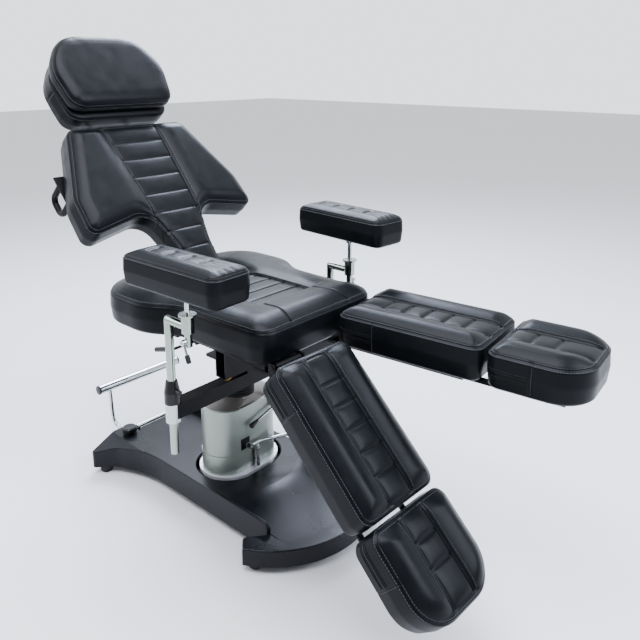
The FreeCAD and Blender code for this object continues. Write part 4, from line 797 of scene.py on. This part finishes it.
# caps in the ends of the foot bar
for side, name in reversed(SIDES):
    set_down(turned_bar((-583, side * 178, 230), (-583, side * 184.5, 230), 17.2, 1.6), NYLON,
             "foot_bar_body", "foot_bar_cap_" + name)
# rubber sleeves on the ends of the cam levers
for side, name in SIDES:
    y = side * (349 + 11.3 + 6)
    set_down(turned_bar((216.6, y, 671.5), (225, y, 649.5), 6.8, 2.4), RUBBER, name + "_cam",
             name + "_cam_sleeve")
# brass fitting on the cross beam
set_down(turned_bar((131, -150, 489.7), (131, -150, 507), 3.4, 0.8), BRASS, "chassis", "valve_stem")
set_down(turned_bar((131, -163, 497), (131, -139, 497), 3.8, 0.8), BRASS, "chassis", "valve_cross")


def make_bellows():
    """The rubber bellows between the cone and the column: a welded, triangulated copy of the solid's mesh in
    rubber, shown in place of the solid.
    """
    piece = bpy.data.objects.new("bellows_rubber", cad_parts["bellows"].data.copy())
    bpy.context.scene.collection.objects.link(piece)
    welded(piece.data, True)
    piece.data.materials.clear()
    piece.data.materials.append(RUBBER)
    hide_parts("bellows")
    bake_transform(piece)


make_bellows()


# Floor, light and camera
bpy.ops.mesh.primitive_plane_add(size=40)
floor = bpy.context.object
floor.name = "studio_floor"
white, tree, shader = finish_named("pale_studio_floor", "d0d0d0", 0.75)
cloudy(tree, shader, in_millimetres(tree), 600, "d2d2d2", "cecece", 0.7, 0.8)
floor.data.materials.append(white)


def softbox(name, spot, target, size, power, colour):
    """A large square light that looks at target."""
    lamp = bpy.data.lights.new(name, "AREA")
    lamp.size = size
    lamp.energy = power
    lamp.color = srgb(colour)[:3]
    holder = bpy.data.objects.new(name, lamp)
    holder.location = spot
    holder.rotation_euler = (Vector(spot) - Vector(target)).to_track_quat("Z", "Y").to_euler()
    bpy.context.scene.collection.objects.link(holder)


# name, place and target in metres, size in metres, power in watts, colour
softbox("back_softbox", (-1.7, 1.9, 3.4), (0.4, 0.2, 0.6), 2.0, 330, "dfe8ff")
softbox("top_softbox", (0.4, -0.8, 3.3), (0, -0.1, 0.5), 2.4, 260, "f0f2ff")
softbox("side_softbox", (-2.6, -2.0, 2.4), (0, 0, 0.6), 1.8, 50, "f4f4ff")
softbox("front_softbox", (3.3, 1.0, 3.0), (0.6, -0.1, 0.4), 2.6, 250, "eaf0ff")

# a pale room, brighter behind the chair and to its left
world = bpy.data.worlds.new("pale_room")
world.use_nodes = True
tree = world.node_tree
toward = node(tree, "ShaderNodeTexCoord").outputs["Generated"]
behind = node(tree, "ShaderNodeVectorMath", [(0, toward)], operation="DOT_PRODUCT")
behind.inputs[1].default_value = (-0.75, 0.6, 0.1)
level = ranged(tree, behind.outputs["Value"], (-0.8, 0.6, 0.55, 2.3))
sky = tree.nodes["Background"]
sky.inputs["Color"].default_value = srgb("eff4fc")
tree.links.new(level, sky.inputs["Strength"])
bpy.context.scene.world = world

# the camera of the photo, shifted so that other views hold the whole chair
camera_data = bpy.data.cameras.new("photo_camera")
camera_data.lens = 38.24
camera_data.sensor_width = 36
camera_data.shift_y = -0.15
camera = bpy.data.objects.new("photo_camera", camera_data)
azimuth, elevation = math.radians(41.12), math.radians(13.2)
away = Vector((math.sin(azimuth) * math.cos(elevation), -math.cos(azimuth) * math.cos(elevation),
               math.sin(elevation)))
camera.location = (1.608, -1.414, 1.435)
camera.rotation_euler = (-away).to_track_quat("-Z", "Y").to_euler()
bpy.context.scene.collection.objects.link(camera)
bpy.context.scene.camera = camera
